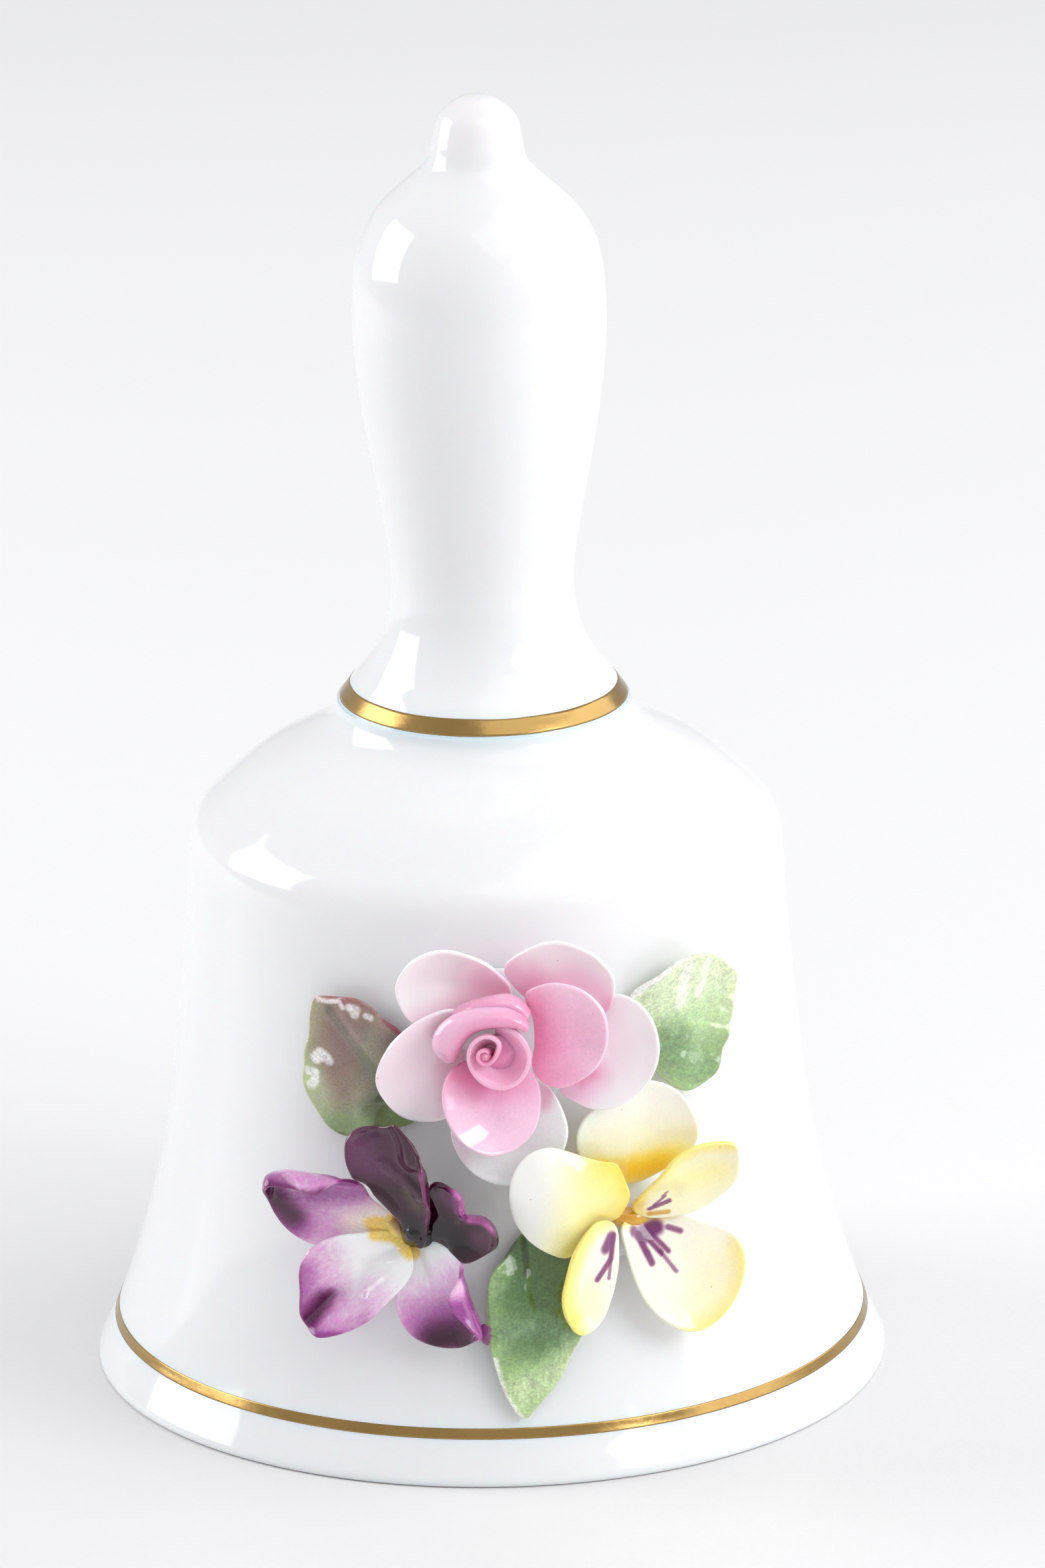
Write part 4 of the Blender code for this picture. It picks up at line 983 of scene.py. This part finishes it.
def floor_paper(name):
    """The pale sweep the bell stands on, with a faint tooth. It is painted darker towards the front and
    whiter further back: painted shade of the dimmer room on the front side.
    """
    nodes = Nodes(name)
    at = nodes.object_place()
    tooth = nodes.noise(at, 1400.0, 3.0, 0.6)
    # Painted shade: the floor's colour darkens towards the front.
    depth = nodes.add("ShaderNodeSeparateXYZ", {"Vector": at}).outputs["Y"]
    back = nodes.add("ShaderNodeMapRange", {
        "Value": depth, "From Min": -0.06, "From Max": 0.45, "To Min": 0.0, "To Max": 1.0,
    }).outputs[0]
    colour = nodes.mix(back, (0.77, 0.77, 0.775, 1.0), (0.95, 0.95, 0.955, 1.0))
    nodes.set(Base_Color=colour, Roughness=0.45)
    nodes.bump(tooth, 0.2, 0.0002)
    return nodes.material


# ------------------------------------------------------------------------------------------ turned china


def make_shell(glaze):
    outside = spline(SHELL_OUTSIDE, 8)
    inside = spline(SHELL_INSIDE, 5)
    profile = np.vstack([outside, SHELL_LIP, inside, SHELL_CROWN])
    place("bell_shell_china", turned("bell_shell_china", profile, True), glaze, "bone_china", "bell",
          "bell_shell")


def make_handle(glaze):
    outside = spline(HANDLE_OUTSIDE, 7)
    inside = spline(HANDLE_INSIDE, 4)
    mesh = turned("handle_china", np.vstack([outside, inside]), False)
    place("handle_china", mesh, glaze, "bone_china", "bell", "handle")


def make_gilt(name, stations, band, gold):
    """A film of gold round the china, whose edges waver slightly as a hand-held brush leaves them."""
    low, high = band
    surface = spline(stations, 8)[::-1]
    levels = np.linspace(high, low, 9)
    radii = np.interp(levels, surface[:, 1], surface[:, 0]) + GILT_PROUD
    front = np.column_stack([radii, levels])
    back = np.column_stack([radii - GILT_DEPTH, levels])[::-1]

    def waver(turn, height):
        return GILT_WAVER * noise.noise(Vector((3 * math.cos(turn), 3 * math.sin(turn), height * 2.0)))

    mesh = turned(name + "_film", np.vstack([front, back]), True, waver)
    place(name + "_film", mesh, gold, "gilt", "bell", name)


# -------------------------------------------------------------------------------------- hanger, clapper


def tube_mesh(name, path, radius, section=20):
    """A round wire along a path, with domed ends."""
    path = np.asarray(path)
    tangents = np.gradient(path, axis=0)
    tangents /= np.linalg.norm(tangents, axis=1)[:, None]
    side = np.cross(tangents[0], [0.3, 0.5, 0.8])
    points, rings = [], []
    sizes = np.ones(len(path))
    sizes[[0, -1]] = 0.45
    for at, tangent, size in zip(path, tangents, sizes):
        side = side - tangent * (side @ tangent)
        side /= np.linalg.norm(side)
        upper = np.cross(tangent, side)
        rings.append(list(range(len(points), len(points) + section)))
        for step in range(section):
            turn = 2 * math.pi * step / section
            points.append(at + radius * size * (side * math.cos(turn) + upper * math.sin(turn)))
    faces = [tuple(rings[0]), tuple(rings[-1])]
    for first, second in zip(rings, rings[1:]):
        for step in range(section):
            after = (step + 1) % section
            faces.append((first[step], second[step], second[after], first[after]))
    return mesh_from(name, points, faces)


def make_hanger(metal):
    """The headed pin through the plug, whose wire is bent round into an eye below it."""
    head = PIN_HEAD
    dome = [(0.0, head["high"]), (1.2, head["high"] - 0.05), (1.9, head["high"] - 0.3),
            (head["radius"], head["low"] + 0.25), (head["radius"] - 0.1, head["low"]), (0.0, head["low"])]
    button = turned("eye_pin_head", spline(dome, 5), False)
    place("eye_pin_head", button, metal, "wire", "hanger", "eye_pin")
    top = PIN_EYE + EYE_RADIUS
    route = [(0.0, 0.0, head["low"] + 0.1), (0.0, 0.0, 64.0), (0.0, 0.0, 60.5), (0.0, 0.0, top + 0.5)]
    for degrees in range(80, -231, -15):
        turn = math.radians(degrees)
        route.append((EYE_RADIUS * math.cos(turn), 0.0, PIN_EYE + EYE_RADIUS * math.sin(turn)))
    wire_path = evenly(spline(route, 6), 150)
    place("eye_pin_wire", tube_mesh("eye_pin_wire", wire_path, WIRE_RADIUS), metal, "wire", "hanger",
          "eye_pin")


def make_clapper(metal, glaze):
    """A wire bent into an eye, straight down through the china bead, and hooked under it."""
    end = BEAD["height"] - BEAD["radius"] - WIRE_TAIL
    route = [(0.0, 1.5, end), (0.0, 0.9, end), (0.0, 0.2, end + 0.2), (0.0, 0.0, end + 0.9)]
    route += [(0.0, 0.0, level) for level in (BEAD["height"], 30.0, 45.0, SWING - EYE_RADIUS - 1.6)]
    for degrees in range(-50, 231, 20):
        turn = math.radians(degrees)
        route.append((0.0, EYE_RADIUS * math.cos(turn), SWING + EYE_RADIUS * math.sin(turn)))
    path = evenly(spline(route, 8), 220)
    place("clapper_wire_bent", tube_mesh("clapper_wire_bent", path, WIRE_RADIUS), metal, "wire", "clapper",
          "clapper_wire")
    start = math.asin(BEAD["hole"] / BEAD["radius"])
    angles = np.linspace(start, math.pi - start, 48)
    ball = np.column_stack([np.sin(angles), np.cos(angles)]) * BEAD["radius"] + (0.0, BEAD["height"])
    bore = [(BEAD["hole"], BEAD["height"] - 4.0), (BEAD["hole"], BEAD["height"] + 4.0)]
    bead = turned("clapper_bead_china", np.vstack([ball, bore]), True)
    place("clapper_bead_china", bead, glaze, "bone_china", "clapper", "clapper_bead")


# ---------------------------------------------------------------------------------------------- flowers

SLOTS = {
    "rose": "pink_china", "purple": "violet_china", "yellow": "yellow_china",
    "purple_petal_upper": "aubergine_china", "purple_petal_right": "aubergine_china",
    "leaf_left": "leaf_brown", "leaf_right": "leaf_pale", "leaf_bottom": "leaf_dark",
}


def sheet_piece(name, points, faces, weights, unrolled, frame_of, thickness=PETAL_THICKNESS):
    """A solid sheet from points in a flower's or the wall's own frame."""
    return thickened(name, frame_of.to_bell(points), faces, thickness, weights, unrolled)


def make_petals(enamel):
    faces = grid_faces(SHEET_CELLS + 1, SHEET_CELLS + 1)
    for node, petal in PETALS.items():
        flower = node.split("_")[0]
        points, share, unrolled = petal_sheet(petal)
        name = node + "_china"
        weights = 1.0 - (1.0 - RIM_SHARE) * share ** 2
        mesh = sheet_piece(name, points, faces, weights, unrolled, FlowerFrame(flower))
        tip = 2 * np.array(petal["heart"]) - np.array(petal["edge"][0])
        brush(mesh, petal["strokes"], petal["edge"][0], tip)
        place(name, mesh, enamel[flower], SLOTS.get(node, SLOTS[flower]), "bell", node)


def side_veins(midrib):
    """Short veins that leave the midrib to both sides, towards the tip."""
    line = evenly(spline([(*point, 0.0) for point in midrib], 6), 7)[:, :2]
    veins = []
    for start, end in zip(line[1:-1], line[2:]):
        along = (end - start) / np.linalg.norm(end - start)
        for sense in (1.0, -1.0):
            away = np.array([-along[1], along[0]]) * sense
            veins.append([tuple(start), tuple(start + along * 1.4 + away * 2.6)])
    return veins


def make_leaves(enamel):
    faces = grid_faces(SHEET_CELLS + 1, SHEET_CELLS + 1)
    for node, leaf in LEAVES.items():
        frame_of = WallFrame(*leaf["wall"])
        creases = [(leaf["midrib"], 0.35, -0.22)]
        creases += [(vein, 0.25, -0.1) for vein in side_veins(leaf["midrib"])]
        points, share, unrolled = petal_sheet({**leaf, "creases": creases, "ruffle": (0.16, 9, 0.0)})
        name = node + "_china"
        mesh = sheet_piece(name, points, faces, 1.0 - 0.35 * share ** 2, unrolled, frame_of)
        brush(mesh, leaf["strokes"], leaf["midrib"][0], leaf["midrib"][-1])
        place(name, mesh, enamel, SLOTS[node], "bell", node)


def make_pads(clay):
    """Low mounds of white clay, pressed down round the flowers' backs."""
    faces = grid_faces(SHEET_CELLS + 1, SHEET_CELLS + 1)
    for node, (azimuth, height, half_width, half_height, rise) in PADS.items():
        edge = [
            (half_width * math.cos(turn), half_height * math.sin(turn), 0.4)
            for turn in np.linspace(0.0, 2 * math.pi, 10, endpoint=False)
        ]
        mound = {"heart": (0.0, 0.0, rise), "edge": edge, "ruffle": (0.15, 5, 30.0)}
        points, share, unrolled = petal_sheet(mound)
        name = node + "_clay"
        wall = WallFrame(azimuth, height)
        mesh = sheet_piece(name, points, faces, np.ones(len(share)), unrolled, wall, PAD_THICKNESS)
        place(name, mesh, clay, "bone_china", "bell", node)


def loft(rows, columns):
    """A grid of points over rows of stations, smooth both ways."""
    lines = [evenly(spline(row, 8), columns) for row in rows]
    across = [spline([line[index] for line in lines], 3) for index in range(columns)]
    return np.transpose(np.array(across), (1, 0, 2))


def make_bud(enamel):
    """The rose's heart: a strip of clay rolled inwards, tighter and higher at its middle."""
    axis = np.array(BUD_AXIS)
    rows = []
    for scale, level in BUD_LEVELS:
        rows.append([
            (*(axis + (np.array(edge[:2]) - axis) * scale), level + edge[2] - BUD_TOP) for edge in BUD_EDGE
        ])
    grid = loft(rows, 74)
    height, width = grid.shape[:2]
    points = grid.reshape(-1, 3)
    rise = np.interp(np.linspace(0.0, 1.0, height), (0.0, 0.75, 1.0), (1.0, 0.9, BUD_RIM_SHARE))
    weights = np.outer(rise, np.linspace(1.0, 0.55, width)).ravel()
    mesh = sheet_piece("rose_bud_china", points, grid_faces(height, width), weights, points[:, :2],
                       FlowerFrame("rose"), BUD_THICKNESS)
    strokes = [("pink", 0.62, 40.0, [(1.2, 0.1)]), ("rose", 0.35, 3.0, [(1.4, 0.2)]),
               ("rose", 0.6, 1.3, [(-0.4, 0.7)])]
    brush(mesh, strokes, (1.2, -3.0), (1.2, 3.0))
    place("rose_bud_china", mesh, enamel, "pink_china", "bell", "rose_bud")


def make_wraps(enamel):
    """Petals that hug the bud and turn their lips outwards."""
    frame_of = FlowerFrame("rose")
    axis = np.array([*BUD_AXIS, 0.0])
    for node, wrap in WRAPS.items():
        inner, outer = np.array(wrap["inner"]), np.array(wrap["outer"])
        foot = axis + (inner - axis) * (0.86, 0.86, 0.0) + (0.0, 0.0, wrap["foot"])
        waist = 0.5 * (foot + inner) + (0.0, 0.0, 0.2)
        crest = 0.5 * (inner + outer) + (0.0, 0.0, 0.6)
        tuck = outer - (0.0, 0.0, 0.7)
        grid = loft([foot, waist, inner, crest, outer, tuck], 40)
        height, width = grid.shape[:2]
        weights = np.repeat(np.linspace(1.0, 0.75, height), width)
        name = node + "_china"
        points = grid.reshape(-1, 3)
        mesh = sheet_piece(name, points, grid_faces(height, width), weights, points[:, :2], frame_of,
                           WRAP_THICKNESS)
        strokes = [("pink", 0.58, 40.0, [(0.0, 3.0)]), ("rose", 0.35, 2.0, [tuple(p[:2]) for p in inner])]
        brush(mesh, strokes, (0.0, 0.0), (1.0, 6.0))
        place(name, mesh, enamel, "pink_china", "bell", node)


def make_lumps(enamel):
    """The hearts of the pansies, the spur on a petal's tip and the clay that fills the rose's bud."""
    for name, (node, slot, paint, at, size, levels, strokes) in LUMPS.items():
        flower = node.split("_")[0]
        ring = [(size[0] * math.cos(turn), size[1] * math.sin(turn)) for turn in np.linspace(0, 5.24, 6)]
        edge = [(at[0] + x, at[1] + y, levels[0]) for x, y in ring]
        lump = {"heart": (*at, levels[1]), "edge": edge, "ruffle": (0.2, 5, 0.0)}
        points, share, unrolled = petal_sheet(lump, LUMP_CELLS)
        faces = grid_faces(LUMP_CELLS + 1, LUMP_CELLS + 1)
        mesh = sheet_piece(name, points, faces, np.ones(len(share)), unrolled, FlowerFrame(flower),
                           LUMP_THICKNESS)
        brush(mesh, strokes, (0.0, 0.0), (0.0, 1.0))
        place(name, mesh, enamel[paint], slot, "bell", node)


def make_flowers():
    enamel = {
        "rose": painted("pink_china", 0.2), "purple": painted("violet_china", 0.7, 0.5, 0.3, 0.4),
        "yellow": painted("yellow_china", 0.15),
    }
    make_petals(enamel)
    make_bud(enamel["rose"])
    make_wraps(enamel["rose"])
    enamel["eye"] = painted("flower_eye")
    make_lumps(enamel)
    make_leaves(painted("leaf_china", 1.0, 0.8, 0.45, 0.4))
    make_pads(china("clay_white", specks=False))


# ----------------------------------------------------------------------------------------------- studio

# Each softbox: azimuth from the front, elevation, distance, roll, width, height, brightness
SOFTBOXES = {
    "softbox_left": (-100.0, 19.0, 0.6, 11.0, 0.40, 0.41, 3.8),
    "softbox_right": (94.0, 20.0, 0.6, 0.0, 0.80, 0.44, 1.7),
    "softbox_front": (51.0, 25.0, 0.6, 25.0, 0.32, 0.22, 4.8),
    "softbox_high": (45.0, 56.0, 0.6, 0.0, 0.62, 0.40, 0.95),
}
SOFTBOX_AIM = Vector((0.0, 0.0, 0.08))
ROOM_LIGHT = (0.65, 0.655, 0.67, 1.0)
FLOOR_HALF = 4000.0

# The camera's place in metres, and its turns in degrees
CAMERA_AT = (0.0, -1.0524, 0.3995)
CAMERA_PAN = -0.194
CAMERA_DOWN = 18.03
CAMERA_ROLL = -0.66
CAMERA_LENS = 267.2


def make_softbox(name, azimuth, elevation, distance, roll, width, tall, brightness):
    """A rectangular light that faces the bell."""
    light = bpy.data.lights.new(name, "AREA")
    light.shape = "RECTANGLE"
    light.size = width
    light.size_y = tall
    light.energy = brightness * math.pi * width * tall
    lamp = bpy.data.objects.new(name, light)
    bpy.context.collection.objects.link(lamp)
    turn, rise = math.radians(azimuth), math.radians(elevation)
    level = math.cos(rise)
    outward = Vector((math.sin(turn) * level, -math.cos(turn) * level, math.sin(rise)))
    lamp.location = SOFTBOX_AIM + outward * distance
    facing = outward.to_track_quat("Z", "Y").to_matrix()
    lamp.rotation_euler = (facing @ Matrix.Rotation(math.radians(roll), 3, "Z")).to_euler()


def make_studio():
    world = bpy.data.worlds.new("room")
    world.use_nodes = True
    world.node_tree.nodes["Background"].inputs["Color"].default_value = ROOM_LIGHT
    bpy.context.scene.world = world
    for name, box in SOFTBOXES.items():
        make_softbox(name, *box)
    corners = [(x * FLOOR_HALF, y * FLOOR_HALF, 0.0) for x, y in ((-1, -1), (1, -1), (1, 1), (-1, 1))]
    mesh = mesh_from("floor", corners, [(0, 1, 2, 3)])
    mesh.materials.append(floor_paper("floor_paper"))
    floor = bpy.data.objects.new("floor", mesh)
    bpy.context.collection.objects.link(floor)


def make_camera():
    camera = bpy.data.cameras.new("camera")
    camera.sensor_fit = "VERTICAL"
    camera.sensor_height = 36.0
    camera.lens = CAMERA_LENS
    camera.clip_start = 0.05
    camera.clip_end = 20.0
    holder = bpy.data.objects.new("camera", camera)
    bpy.context.collection.objects.link(holder)
    holder.location = CAMERA_AT
    pan = Matrix.Rotation(math.radians(CAMERA_PAN), 4, "Z")
    tilt = Matrix.Rotation(math.radians(90.0 - CAMERA_DOWN), 4, "X")
    roll = Matrix.Rotation(math.radians(CAMERA_ROLL), 4, "Z")
    holder.rotation_euler = (pan @ tilt @ roll).to_euler()
    bpy.context.scene.camera = holder
    bpy.context.scene.view_settings.view_transform = "Standard"


# ------------------------------------------------------------------------------------------------- main


def main():
    make_camera()
    make_studio()
    glaze = china("bone_china")
    gold = gilt("gilt")
    brass = wire("wire")
    make_shell(glaze)
    make_handle(glaze)
    make_gilt("gilt_line_collar", HANDLE_OUTSIDE, COLLAR_GILT, gold)
    make_gilt("gilt_line_rim", SHELL_OUTSIDE, RIM_GILT, gold)
    make_hanger(brass)
    make_clapper(brass, glaze)
    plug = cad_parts["crown_plug"]
    plug.data.materials.clear()
    plug.data.materials.append(plaster("plaster"))
    make_flowers()


main()
